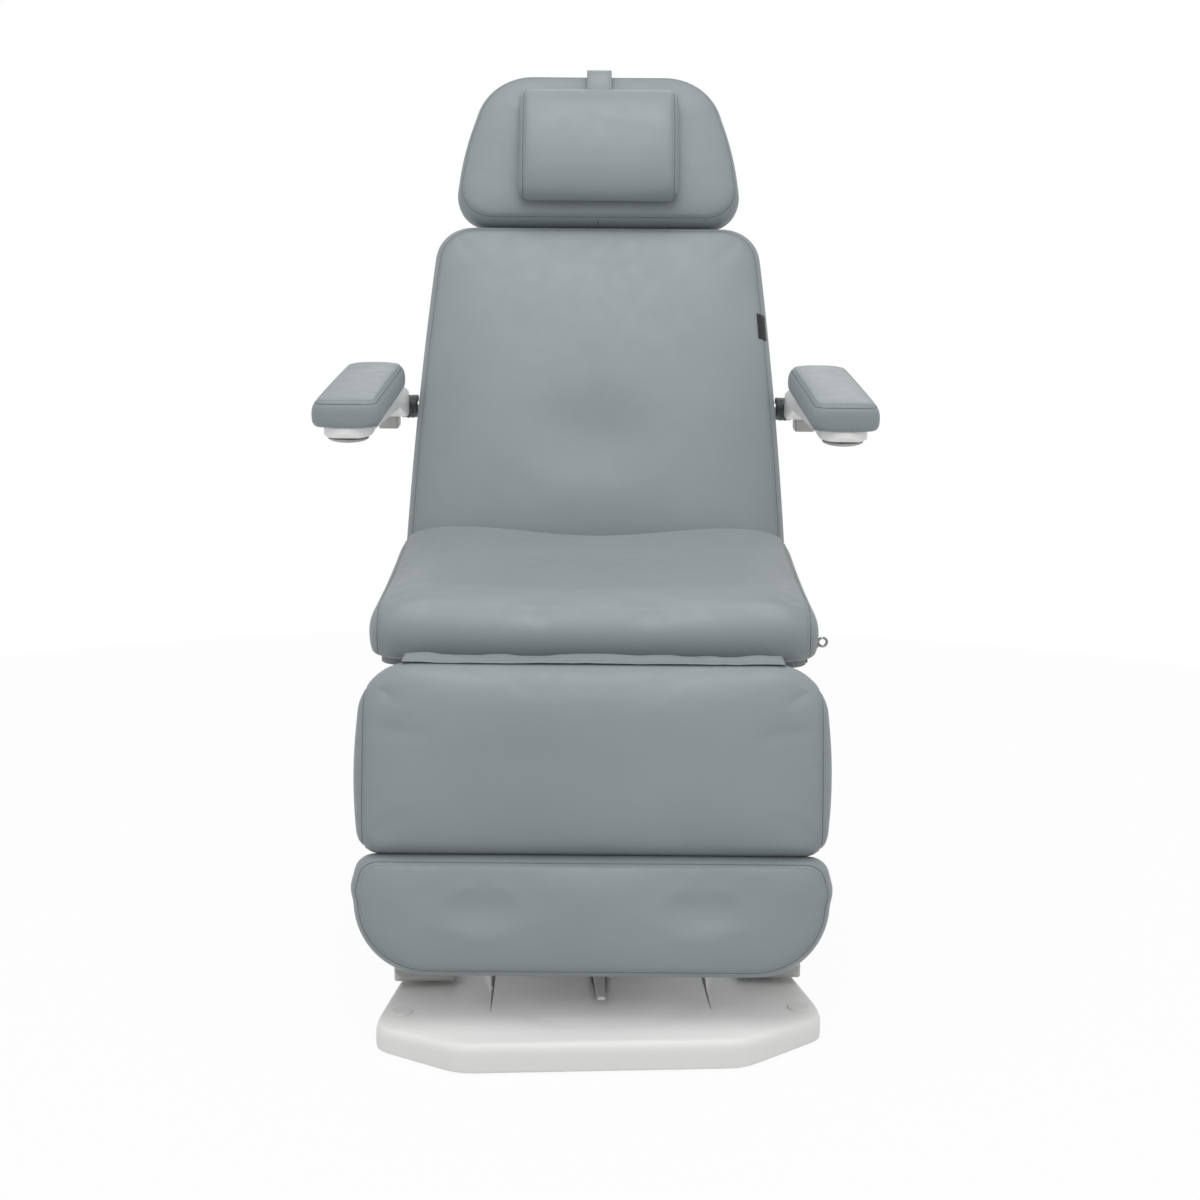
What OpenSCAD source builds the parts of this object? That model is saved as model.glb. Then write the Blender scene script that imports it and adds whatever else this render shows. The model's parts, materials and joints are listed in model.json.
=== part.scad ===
/* [Seat] */
// Height of the footrest's lower end above the floor, column down
foot_up = 89.03; // [86:0.01:150]
// Width of the seat cushion
seat_w = 618; // [540:2:620]
// Reach of the seat cushion in front of the swivel axis
seat_front = 172; // [168:1:176]
// Thickness of the seat cushion
seat_thick = 89.8; // [70:0.2:95]
// Rise of the seat's crown above its edge
seat_crown = 8; // [4:1:22]
// Slack between the back of the seat and the backrest
seat_back_gap = 14; // [12:1:30]

/* [Backrest] */
// Angle of the backrest from level, as it stands
back_angle = 65; // [62:1:68]
// Reach of the recline axis behind the swivel axis
back_hinge_y = 392; // [386:1:400]
// Height of the backrest's face above the recline axis
back_face = 109.8; // [104:0.2:116]
// Length of the backrest cushion above the recline axis
back_up = 602; // [590:2:610]
// Length of the backrest cushion below the recline axis
back_down = 20; // [5:1:22]
// Width of the backrest at its foot
back_w = 614; // [560:2:620]
// Width of the backrest at its top
back_top_w = 550; // [500:2:560]
// Radius of the backrest's upper corners
back_corner_r = 72; // [40:1:90]
// Thickness of the backrest cushion
back_thick = 77; // [60:1:77]
// Rise of the backrest's crown above its edge
back_crown = 18; // [6:1:24]

/* [Headrest] */
// Slack between backrest and headrest
head_gap = 6; // [4:1:20]
// Length of the headrest cushion
head_l = 266; // [240:2:300]
// Width of the headrest near its foot
head_w = 472; // [400:2:500]
// Width of the headrest at its top
head_top_w = 420; // [300:2:440]
// Radius of the headrest's upper corners
head_corner_r = 96; // [60:1:110]
// Thickness of the headrest cushion
head_thick = 77; // [60:1:77]
// Rise of the headrest's crown above its edge
head_crown = 14; // [6:1:20]
// Travel of the headrest on its rods
head_travel = 100; // [60:5:110]
// Width of the neck pillow
pillow_w = 264; // [200:2:300]
// Length of the neck pillow
pillow_l = 196; // [150:2:210]
// Thickness of the neck pillow
pillow_thick = 46; // [30:1:60]
// Width of the pillow strap
strap_w = 42; // [25:1:60]

/* [Leg rest] */
// Angle of the leg rest below level, as it stands
leg_angle = 76; // [74:1:78]
// Reach of the leg rest axis in front of the swivel axis
leg_hinge_y = 188; // [186:1:194]
// Height of the leg rest's face above its axis
leg_face = 97.8; // [95:0.2:102]
// Length of the leg rest cushion
leg_l = 244; // [230:1:246]
// Width of the leg rest cushion
leg_w = 634; // [560:2:640]
// Thickness of the leg rest cushion
leg_thick = 68; // [55:1:68]
// Rise of the leg rest's crown above its edge
leg_crown = 14; // [6:1:20]
// Slack between leg rest and footrest
foot_gap = 4; // [3:1:10]
// Length of the footrest cushion
foot_l = 157; // [152:1:174]
// How much wider than the leg rest the footrest is on each side
foot_more = 2; // [0:0.5:4]
// Radius of the footrest's lower corners
foot_corner_r = 86; // [50:1:90]
// Thickness of the footrest cushion
foot_thick = 63; // [55:1:63]
// Rise of the footrest's crown above its edge
foot_crown = 11; // [6:1:16]
// Depth of the two heel hollows
heel_dent = 11; // [4:1:14]
// Travel of the footrest on its rods
foot_travel = 120; // [60:5:130]

/* [Armrests] */
// Distance of an armrest pad's middle from the chair's middle
arm_x = 346; // [345:0.5:356]
// Width of an armrest pad
arm_pad_w = 93; // [80:1:94]
// Length of an armrest pad
arm_pad_l = 412; // [340:2:420]
// Thickness of an armrest pad
arm_pad_t = 44; // [30:1:50]
// Reach of the pad's front in front of the arm axis
arm_reach = 607; // [590:1:620]
// Height of the pad's underside above the arm axis
arm_rise = 62; // [60:1:70]
// Drop of the armrest towards its front
arm_drop = 1.7; // [0:0.1:3]
// Width of the arm shell
arm_shell_w = 67; // [60:1:70]
// Place of the arm axis up the backrest
arm_up = 310; // [300:1:320]
// Diameter of the round cap under the arm
arm_cap_d = 58; // [40:1:60]

/* [Base] */
// Reach of the base in front of the swivel axis
base_front = 420; // [412:1:432]
// Reach of the base behind the swivel axis
base_rear = 440; // [420:1:460]
// Half width of the base's front edge
base_nose = 190; // [160:1:200]
// Half width of the base at its front corners
base_wing = 300; // [290:1:315]
// Length of the slanted front corners
base_slant = 86; // [80:1:100]
// Half width of the base at its waist
base_waist = 258; // [252:1:264]
// Height of the base cover's top
base_h = 42; // [42:0.5:44]
// Height of the fairing round the swivel
fairing_h = 68; // [66:1:70]
// Wall of the base cover
cover_wall = 3.5; // [2.5:0.5:4]
// Turn of the base under the chair, as it stands
base_turn = 2.5; // [0:0.5:6]
// Width of a foot pedal
pedal_w = 86; // [60:1:90]
// Length of the swivel lock lever in front of its pin
lever_l = 155; // [140:1:165]

/* [Column] */
// Width of the outer column profile
column_w = 190; // [180:1:192]
// Depth of the outer column profile
column_d = 150; // [140:1:152]
// Wall of the column profiles
column_wall = 6; // [4:0.5:7]

/* [Frames, pins and fits] */
// Thickness of the plywood boards
board_t = 12; // [9:1:12]
// Thickness of the steel plates
plate_t = 3; // [2:0.5:3]
// Radius of the main hinge pins
pin_r = 7; // [6:0.5:7.5]
// Radius of the headrest rods
head_rod_r = 8; // [6:0.5:8]
// Radius of the footrest rods
foot_rod_r = 10; // [8:0.5:10]
// Radius of the actuator rods
act_rod_r = 9; // [7:0.5:9]
// Running clearance on a radius
run_gap = 0.05; // [0.02:0.01:0.1]
// Slack between soft pieces and their neighbours
soft_gap = 0.4; // [0.3:0.1:0.5]

/* [Hidden] */

// Place of the swivel axis behind the middle of the chair's box on the floor
swivel_y = -161;
// Cut overrun
over = 1;
// Smoothness of round forms
$fn = 48;
// Steps of a cushion's corner and of its straight stretches
corner_steps = 6;
edge_steps = 4;
// A cushion's side: how far it is drawn in and how high, as shares of its edge radius and edge height
side_shares = [[0.42, 0], [0.12, 0.09], [0, 0.34], [0.04, 0.6], [0.2, 0.76], [0.3, 0.86], [0.85, 1]];
// A cushion's crown, as shares of its way out from the middle
crown_shares = [0.9, 0.76, 0.58, 0.38, 0.19];

// Plain rounding sizes of the cushions
seat_edge_r = 27;
back_edge_r = 26;
head_edge_r = 26;
leg_edge_r = 28;
foot_edge_r = 24;
pillow_edge_r = 16;
arm_edge_r = 12;
seat_corner_r = 44;
low_corner_r = 40;
leg_corner_r = 34;
leg_top_corner_r = 74;
pillow_corner_r = 18;
arm_corner_r = 20;
pillow_crown = 30;
pillow_margin = 24;
cushion_bow = 4;
arm_crown = 5;
seat_dish = 9;
seat_rise = 18;
leg_over = 6;
lumbar_dent = 8;

// Seat heights and ends
leg_hinge_z = foot_up + (leg_l + foot_gap + foot_l) * sin(leg_angle);
seat_h = leg_hinge_z + leg_face;
seat_bottom = seat_h - seat_thick;
pan_top = seat_bottom - board_t;
pan_flange = 20;
pan_front = 160;
pan_rear = 235;
board_margin = 14;
back_hinge_z = seat_h - back_face;
seat_rear = back_hinge_y - (back_face + seat_back_gap) * sin(back_angle)
    + (seat_bottom - back_hinge_z - (back_face + seat_back_gap) * cos(back_angle)) / tan(back_angle);

// Plates, lugs and pins
lug_r = 14;
side_plate_t = 8;
flange_t = 6;
ear_gap = 0.6;
side_x = 215.4;
leg_flange_x = side_x - ear_gap - flange_t;
back_flange_x = side_x + side_plate_t + ear_gap;
pin_head = 3;

// Tilt axis and its ears
tilt_y = 60;
tilt_drop = 60;
tilt_z = pan_top - tilt_drop;
tilt_pin_r = 8;
tilt_lug_r = 16;
head_ear_x = 90;
head_ear_t = 8;
tilt_lug_x = head_ear_x + head_ear_t + ear_gap;
head_plate_t = 8;
head_plate_drop = 34;
head_plate_z = tilt_z - head_plate_drop;
head_plate_w = 200;
head_plate_rear = 82;
head_plate_front = 140;

// Lift column
slide_gap = 0.4;
column_corner_r = 16;
turntable_top = 64;
outer_drop = 54;
middle_drop = 34;
outer_top = head_plate_z - outer_drop;
middle_top = head_plate_z - middle_drop;
middle_low = 76;
inner_low = 88;
inset_step = column_wall + slide_gap;

// Tilt actuator
tilt_act_y = 115;
tilt_act_r = 22;
tilt_act_l = 170;
tilt_rod_drop = 23;
tilt_rod_top = pan_top - tilt_rod_drop;
tilt_motor_x = 46;
tilt_motor_l = 96;

// Lying actuators
act_x = 140;
act_r = 20;
act_motor_r = 21;
act_motor_drop = 43;
act_eye_r = 13;
act_eye_w = 20;
act_pin_r = 6;
act_ear_t = 6;
rod_eye_r = 12;
rod_eye_w = 11;
rod_tang_l = 46;
tilt_tang_l = 34;
tube_start = 18;
gearbox_l = 28;
motor_l = 92;
bore_start = 60;
leg_act_y = 165;
act_drop = 58;
leg_act_z = pan_top - act_drop;
leg_lever_u = 100;
leg_lever_w = -35;
leg_tube_l = 230;
leg_rod_back = 80;
back_act_y = -100;
back_act_z = pan_top - act_drop;
back_lever_u = -78;
back_lever_w = -58;
back_tube_l = 340;
back_rod_back = 220;
lever_t = 6;
rod_side_gap = 0.5;
lever_x = act_x + rod_eye_w / 2 + rod_side_gap;

// Backrest parts behind the board
back_board_w = back_face - back_thick - board_t;
back_plate_w = back_board_w - plate_t;
back_plate_short = 27;
back_plate_up = back_up - back_plate_short;
back_plate_down = 12;
back_flange_low = -8;
head_rod_x = 60;
head_rod_w = 8;
head_guide_r = 12;
head_guide_l = 150;
head_guide_short = 5;
head_guide_up = back_plate_up - head_guide_short;
head_guide_low = head_guide_up - head_guide_l;
head_rod_grip = 70;
head_rod_low = head_guide_up - head_travel - head_rod_grip;
head_block = 14;
head_low = back_up + head_gap;
head_block_in = 37;
head_block_low = head_low + head_block_in;
head_rod_in = 55;
head_rod_up = head_block_low + head_rod_in;
head_plate_x = 90;
head_plate_l = 182;
head_plate_up = head_low + head_plate_l;
stub_r = 11;
stub_collar_r = 18;
stub_collar_t = 6;

// Leg rest parts behind the board
leg_board_w = leg_face - leg_thick - board_t;
leg_plate_w = leg_board_w - plate_t;
leg_flange_low = -10;
leg_plate_l = 225;
foot_rod_x = 110;
foot_guide_r = 15;
foot_guide_low = 40;
foot_rod_grip = 45;
foot_rod_low = leg_plate_l - foot_travel - foot_rod_grip;
foot_low = leg_l + foot_gap;
foot_w = leg_w + 2 * foot_more;
foot_board_w = leg_face - foot_thick - board_t;
foot_plate_t = 5;
foot_plate_x = 200;
foot_block = 16;
foot_block_l = 30;
foot_end_margin = 18;
foot_rod_up = foot_low + foot_l - foot_end_margin;

// Armrests
arm_y = back_hinge_y + arm_up * cos(back_angle);
arm_z = back_hinge_z + arm_up * sin(back_angle);
sleeve_r = 20;
sleeve_x = 300;
hub_x = 332.4;
sleeve_end_gap = 1;
sleeve_end = hub_x - sleeve_end_gap;
hub_w = 32;
hub_r = 24;
hub_drop = 36;
hub_wall = 4;
hub_boss_r = 9;
cheek_x = hub_x + hub_w + slide_gap;
cheek_r = 22;
shell_out = arm_x + arm_shell_w / 2;
shell_back = 30;
arm_cap_h = 10;
arm_cap_lip = 3;

// Base
foot_h = 8;
beam_h = 26;
beam_top = foot_h + beam_h;
beam_d = 40;
front_beam_y = 306;
front_beam_half = 258;
rear_beam_y = 330;
rear_beam_half = 205;
spine_half = 60;
hub_plate_r = 140;
hub_plate_t = 6;
ring_out = 110;
ring_in = 60;
ring_h = 8;
ring_gap = 0.5;
turn_plate_r = 130;
turn_cover_r = 147;
cover_hole_r = 150;
fairing_r = 178;
fairing_tip = 370;
fairing_half = 140;
fairing_tail = 300;
foot_r = 22;
stem_r = 5;
foot_pad_h = 8;
front_foot_x = 240;
rear_foot_x = 185;
cap_x = 268;
cap_y = 307;
cap_r = 15;
cap_over = 2.5;
cover_low = 3;
lever_pin_y = 165;
lever_pin_z = 52;
lever_pin_r = 4;
lever_half = 8;
lever_tip_half = 4.8;
lever_low = 56;
lever_thick = 6;
shoe_gap = 0.3;
pedal_x = 240;
pedal_front = 230;
pedal_d = 51;
pedal_low = 47;
pedal_h = 15;
pedal_pin_y = 186;
pedal_pin_r = 3;
pedal_ear_t = 14;
inlet_w = 50;
inlet_h = 26;
inlet_z = 8;
base_tail = 150;
base_rear_wing = 262;
base_rear_slant = 100;
waist_reach = 101;
roof_fall = 6;
slab_low = 34;
slab_top = 40;
tube_wall = 3;
tongue_half = 30;
tongue_front = 190;
lever_ear_t = 6;
lever_ear_half = 13;
outrigger_low = 14;
outrigger_d = 40;
outrigger_end = 252;
rear_cap_x = 200;
neck_y = 52;
neck_top = 22;
neck_low = 44;
cap_gap = 0.3;
flap_w = 524;
flap_t = 1.5;
flap_wave = 2.4;
flap_steps = 26;
flap_waves = 3.3;
ring_y = -125;
ring_r = 6;
ring_rise = 23.12;
wire_r = 1.8;

// Frames that the pieces are built in
module at_axis() translate([0, swivel_y, 0]) children();
module at_base() at_axis() rotate([0, 0, base_turn]) children();
module at_back() at_axis() translate([0, back_hinge_y, back_hinge_z]) rotate([back_angle, 0, 0]) children();
module at_leg() at_axis() translate([0, -leg_hinge_y, leg_hinge_z]) rotate([leg_angle, 0, 0])
    rotate([0, 0, 180]) children();
module at_arm() at_axis() translate([0, arm_y, arm_z]) rotate([arm_drop, 0, 0]) children();
module both() for (m = [0, 1]) mirror([m, 0, 0]) children();
module one_side(m) mirror([m, 0, 0]) children();

// Points of the backrest and the leg rest in the chair's side view
function back_pt(u, w) = [back_hinge_y + u * cos(back_angle) - w * sin(back_angle),
                          back_hinge_z + u * sin(back_angle) + w * cos(back_angle)];
function leg_pt(u, w) = [-leg_hinge_y - u * cos(leg_angle) - w * sin(leg_angle),
                         leg_hinge_z - u * sin(leg_angle) + w * cos(leg_angle)];

// Basic forms: a box between two corners, rods along X and Y, a plate that stands across X
module span(lo, hi) translate(lo) cube(hi - lo);
module x_rod(r, x0, x1) translate([x0, 0, 0]) rotate([0, 90, 0]) cylinder(r = r, h = x1 - x0);
module y_rod(r, y0, y1) translate([0, y0, 0]) rotate([-90, 0, 0]) cylinder(r = r, h = y1 - y0);
module z_rod(r, z0, z1) translate([0, 0, z0]) cylinder(r = r, h = z1 - z0);
module x_plate(x0, t, pts) translate([x0, 0, 0]) rotate([90, 0, 90]) linear_extrude(t) polygon(pts);
module tube(r, bore, z0, z1) difference() { z_rod(r, z0, z1); z_rod(bore, z0 - over, z1 + over); }
module box_tube(lo, hi, along) {
    wall = [for (i = [0 : 2]) i == along ? -over : tube_wall];
    difference() { span(lo, hi); span(lo + wall, hi - wall); }
}

// Outline of a rectangle with round corners, of the size d
module round_rect(w, d, r) {
    square([w - 2 * r, d], center = true);
    square([w, d - 2 * r], center = true);
    for (x = [-1, 1], y = [-1, 1]) translate([x * (w / 2 - r), y * (d / 2 - r)]) circle(r);
}

// Outline of a cushion on its face: ends at y0 and y1, widths w0 and w1, corner radii r0 and r1
function corner(c, r, from) = [for (i = [0 : corner_steps])
    c + r * [cos(from + 90 * i / corner_steps), sin(from + 90 * i / corner_steps)]];
function side_run(p, q, bow) = let (d = q - p) [for (i = [1 : edge_steps - 1])
    let (t = i / edge_steps) p + t * d + bow * 4 * t * (1 - t) * [d.y, -d.x] / norm(d)];
function cushion_outline(y0, y1, w0, w1, r0, r1, bow = 0) = let (
        a = corner([w0 / 2 - r0, y0 + r0], r0, -90),
        b = corner([w1 / 2 - r1, y1 - r1], r1, 0),
        c = corner([-w1 / 2 + r1, y1 - r1], r1, 90),
        d = corner([-w0 / 2 + r0, y0 + r0], r0, 180))
    concat(a, side_run(a[corner_steps], b[0], bow), b, side_run(b[corner_steps], c[0], 0),
           c, side_run(c[corner_steps], d[0], bow), d, side_run(d[corner_steps], a[0], 0));

// Stack of rings closed to one skin: rings hold the same number of points, low to high
module ring_skin(rings, low, high) {
    n = len(rings[0]);
    m = len(rings);
    polyhedron(concat([for (r = rings) each r], [low, high]), concat(
        [for (i = [0 : m - 2], j = [0 : n - 1]) let (a = i * n + j, b = i * n + (j + 1) % n)
            each [[a, a + n, b + n], [a, b + n, b]]],
        [for (j = [0 : n - 1]) [m * n, j, (j + 1) % n]],
        [for (j = [0 : n - 1]) [m * n + 1, (m - 1) * n + (j + 1) % n, (m - 1) * n + j]]), convexity = 6);
}

// Cushion: drawn-in sides round its outline, a crown over its face, and hollows given by relief(x, y);
// lean pushes the far end over with height
module cushion(outline, thick, crown, edge_r, lean = 0, relief = function (x, y) 0) {
    lo = [min([for (p = outline) p.x]), min([for (p = outline) p.y])];
    hi = [max([for (p = outline) p.x]), max([for (p = outline) p.y])];
    mid = (lo + hi) / 2;
    half = (hi - lo) / 2;
    edge_h = thick - crown;
    top_in = side_shares[len(side_shares) - 1][0] * edge_r;
    function leant(x, y, z) = [x, y + lean * z * (y - lo.y) / (hi.y - lo.y), z];
    function drawn(p, inset) = [mid.x + (p.x - mid.x) * (1 - inset / half.x),
                                mid.y + (p.y - mid.y) * (1 - inset / half.y)];
    function dome(q) = let (u = abs(q.x - mid.x) / (half.x - top_in), v = abs(q.y - mid.y) / (half.y - top_in))
        crown * (1 - pow(u, 2.4)) * (1 - pow(v, 2.4));
    sides = [for (s = side_shares) [for (p = outline) let (q = drawn(p, s[0] * edge_r))
        leant(q.x, q.y, s[1] * (edge_h - relief(q.x, q.y)))]];
    rim = [for (p = outline) drawn(p, top_in)];
    tops = [for (f = crown_shares) [for (p = rim)
        let (q = mid + (p - mid) * f) leant(q.x, q.y, edge_h + dome(q) - relief(q.x, q.y))]];
    ring_skin(concat(sides, tops), leant(mid.x, mid.y, 0), leant(mid.x, mid.y, thick - relief(mid.x, mid.y)));
}
function hollow(x, y, cx, cy, rx, ry, deep) = deep * exp(-pow((x - cx) / rx, 2) - pow((y - cy) / ry, 2));

// Board under a cushion: the cushion's outline, a margin smaller
module board(outline, w) translate([0, 0, w]) linear_extrude(board_t) polygon(outline);

// Right half of the base cover's outline, drawn in by the inset: nose, wing, waist, rear wing and tail
function half_base(i) = [[base_nose - i / 2, -base_front + i], [base_wing - i, -base_front + base_slant],
    [base_waist - i, -waist_reach], [base_waist - i, waist_reach],
    [base_rear_wing - i, base_rear - base_rear_slant], [base_tail - i / 2, base_rear - i]];
rim_shares = [[0, 0], [0, 0.8], [0.3, 0.92], [1, 1]];
rim_r = 10;
// The cover's roof is level between two folds, which run from its nose to its tail, and falls to its wings
function roof(x, top) = top - roof_fall * max(0, abs(x) - base_nose) / (base_wing - base_nose);
function fold_x(y) = base_nose + (base_tail - base_nose) * (y + base_front) / (base_front + base_rear) - rim_r / 2;
module base_form(inset, top, low) {
    for (k = [0 : len(half_base(0)) - 2]) hull() polyhedron([for (e = [k, k + 1], m = [-1, 1]) each concat(
        [for (s = rim_shares) let (p = half_base(inset + s[0] * rim_r)[e])
            [m * p.x, p.y, low + s[1] * (roof(p.x, top) - low)]],
        [let (p = half_base(inset + rim_r)[e]) [m * min(p.x, fold_x(p.y)), p.y, top]])],
        [[for (v = [0 : 4 * (len(rim_shares) + 1) - 1]) v]]);
}
module fairing_form(inset) hull() {
    translate([0, 0, slab_low - inset]) linear_extrude(slab_top - slab_low) polygon([
        [-fairing_half / 2 + inset, -fairing_tip + inset], [fairing_half / 2 - inset, -fairing_tip + inset],
        [fairing_half - inset, -fairing_tip + fairing_half / 2], [fairing_half - inset, fairing_tail - fairing_half / 2],
        [fairing_half / 2 - inset, fairing_tail - inset], [-fairing_half / 2 + inset, fairing_tail - inset],
        [-fairing_half + inset, fairing_tail - fairing_half / 2],
        [-fairing_half + inset, -fairing_tip + fairing_half / 2]]);
    z_rod(fairing_r - inset, slab_low - inset, fairing_h - inset);
}

module base_cover() color("white") at_base() difference() {
    union() {
        base_form(0, base_h, cover_low);
        fairing_form(0);
    }
    base_form(cover_wall, base_h - cover_wall, cover_low - over);
    fairing_form(cover_wall);
    z_rod(cover_hole_r, cover_low, fairing_h + over);
    span([-lever_half - 3 * over, -fairing_r * 1.7, slab_low],
        [lever_half + 3 * over, -cover_hole_r + ring_h, fairing_h + over]);
    both() {
        translate([cap_x, -cap_y, 0]) z_rod(cap_r + cap_gap, cover_low, fairing_h);
        translate([rear_cap_x, rear_beam_y, 0]) z_rod(cap_r + cap_gap, cover_low, fairing_h);
        span([pedal_x - pedal_ear_t / 2 - cap_gap, -pedal_pin_y - pedal_ear_t, cover_low],
            [pedal_x + pedal_ear_t / 2 + cap_gap, -pedal_pin_y + pedal_ear_t, fairing_h]);
    }
    span([-inlet_w / 2 - cap_gap, base_rear - 2 * rim_r, inlet_z - cap_gap],
        [inlet_w / 2 + cap_gap, base_rear + over, inlet_z + inlet_h + cap_gap]);
}
module cover_caps() color("white") at_base() both() {
    roof = base_h - roof_fall * (cap_x - base_nose) / (base_wing - base_nose);
    rear_roof = base_h - roof_fall * (rear_cap_x - base_nose) / (base_wing - base_nose);
    translate([cap_x, -cap_y, 0]) cap_form(roof + cap_over);
    translate([rear_cap_x, rear_beam_y, 0]) cap_form(rear_roof + cap_over);
}
module cap_form(top) rotate_extrude() polygon([[0, beam_top], [cap_r, beam_top], [cap_r, top - cap_over / 2],
    [cap_r - cap_over / 2, top], [0, top]]);

module base_spine() color("dimgray") at_base() {
    difference() {
        union() {
            box_tube([-spine_half, -front_beam_y + beam_d / 2, foot_h], [spine_half, rear_beam_y - beam_d / 2, beam_top], 1);
            z_rod(hub_plate_r, beam_top, beam_top + hub_plate_t);
            span([-tongue_half, -tongue_front, beam_top], [tongue_half, 0, beam_top + hub_plate_t]);
            both() {
                span([lever_half + ear_gap, -lever_pin_y - lever_ear_half, beam_top],
                    [lever_half + ear_gap + lever_ear_t, -lever_pin_y + lever_ear_half, lever_pin_z]);
                translate([0, -lever_pin_y, lever_pin_z])
                    x_rod(2 * lever_pin_r, lever_half + ear_gap, lever_half + ear_gap + lever_ear_t);
            }
        }
        translate([0, -lever_pin_y, lever_pin_z]) x_rod(lever_pin_r + run_gap, -spine_half, spine_half);
    }
}
module base_crossbeams() color("dimgray") at_base() {
    difference() {
        union() {
            box_tube([-front_beam_half, -front_beam_y - beam_d / 2, foot_h],
                [front_beam_half, -front_beam_y + beam_d / 2, beam_top], 0);
            box_tube([-rear_beam_half, rear_beam_y - beam_d / 2, foot_h],
                [rear_beam_half, rear_beam_y + beam_d / 2, beam_top], 0);
        }
        both() {
            translate([front_foot_x, -front_beam_y, 0]) z_rod(stem_r, 0, beam_top - tube_wall);
            translate([rear_foot_x, rear_beam_y, 0]) z_rod(stem_r, 0, beam_top - tube_wall);
        }
    }
    both() difference() {
        union() {
            span([spine_half, -pedal_pin_y - outrigger_d / 2, outrigger_low],
                [outrigger_end, -pedal_pin_y + outrigger_d / 2, beam_top]);
            span([pedal_x - pedal_ear_t / 2, -pedal_pin_y - 2 * pedal_pin_r, beam_top],
                [pedal_x + pedal_ear_t / 2, -pedal_pin_y + 2 * pedal_pin_r, pedal_low + 2 * pedal_pin_r]);
            translate([0, -pedal_pin_y, pedal_low + 2 * pedal_pin_r])
                x_rod(2 * pedal_pin_r, pedal_x - pedal_ear_t / 2, pedal_x + pedal_ear_t / 2);
        }
        translate([0, -pedal_pin_y, pedal_low + 2 * pedal_pin_r]) x_rod(pedal_pin_r + run_gap, spine_half, base_wing);
    }
}
module levelling_feet() color("darkslategray") at_base() both() {
    for (p = [[front_foot_x, -front_beam_y], [rear_foot_x, rear_beam_y]]) translate([p.x, p.y, 0]) {
        z_rod(foot_r, 0, foot_pad_h);
        z_rod(stem_r, foot_pad_h, beam_top - 2 * tube_wall);
    }
}
module mains_inlet() color("black") at_base() difference() {
    union() {
        span([-inlet_w / 2, base_rear - rim_r, inlet_z], [inlet_w / 2, base_rear + tube_wall, inlet_z + inlet_h]);
        span([-inlet_w / 2 + tube_wall, rear_beam_y + beam_d / 2, inlet_z + tube_wall],
            [inlet_w / 2 - tube_wall, base_rear - rim_r, inlet_z + inlet_h - tube_wall]);
    }
    span([-inlet_w / 4, base_rear - rim_r - tube_wall, inlet_z + inlet_h / 4],
        [inlet_w / 4, base_rear + rim_r, inlet_z + inlet_h * 3 / 4]);
}
module control_box() color("gray") at_base()
    span([spine_half, -spine_half, foot_h + tube_wall], [base_waist - spine_half / 2, 2 * spine_half, beam_top - tube_wall]);
module bearing_lower_ring() color("silver") at_base()
    tube(ring_out, ring_in, beam_top + hub_plate_t, beam_top + hub_plate_t + ring_h);
module lock_lever() color("gray") at_base() {
    tip = lever_pin_y + lever_l;
    rear = turn_plate_r + shoe_gap;
    intersection() {
        x_plate(-lever_half, 2 * lever_half, [[-rear, lever_pin_z - lever_thick], [-rear, lever_low + lever_thick],
            [-tip, lever_low + lever_thick], [-tip, lever_low + lever_thick / 3], [-tip + lever_thick, lever_low],
            [-lever_pin_y - 8 * lever_thick, lever_low], [-lever_pin_y - 2 * lever_thick, lever_pin_z - lever_thick]]);
        linear_extrude(fairing_h) polygon([[-lever_half, -rear], [-lever_half, -tip + lever_l / 2], [-lever_tip_half, -tip],
            [lever_tip_half, -tip], [lever_half, -tip + lever_l / 2], [lever_half, -rear]]);
    }
    translate([0, -lever_pin_y, lever_pin_z])
        x_rod(lever_pin_r, -lever_half - ear_gap - lever_ear_t, lever_half + ear_gap + lever_ear_t);
}
module pedal() {
    pin_z = pedal_low + 2 * pedal_pin_r;
    difference() {
        intersection() {
            translate([pedal_x, -pedal_front + pedal_d / 2, 0]) linear_extrude(fairing_h)
                round_rect(pedal_w, pedal_d, pedal_d / 4);
            x_plate(0, base_wing, [[-pedal_front, pedal_low + pedal_h / 3], [-pedal_front + pedal_h / 4, pedal_low],
                [-pedal_front + pedal_d, pedal_low], [-pedal_front + pedal_d, pedal_low + pedal_h * 0.8],
                [-pedal_front + pedal_d - pedal_h / 3, pedal_low + pedal_h], [-pedal_front + pedal_h / 2, pedal_low + pedal_h],
                [-pedal_front, pedal_low + pedal_h / 2]]);
        }
        span([pedal_x - pedal_ear_t / 2 - ear_gap, -pedal_pin_y - 4 * pedal_pin_r, pedal_low - over],
            [pedal_x + pedal_ear_t / 2 + ear_gap, -pedal_pin_y + 4 * pedal_pin_r, pin_z + 3 * pedal_pin_r]);
    }
    translate([0, -pedal_pin_y, pin_z]) x_rod(pedal_pin_r, pedal_x - pedal_ear_t, pedal_x + pedal_ear_t);
}
module pedal_left() color("gray") at_base() one_side(1) pedal();
module pedal_right() color("gray") at_base() one_side(0) pedal();

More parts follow.
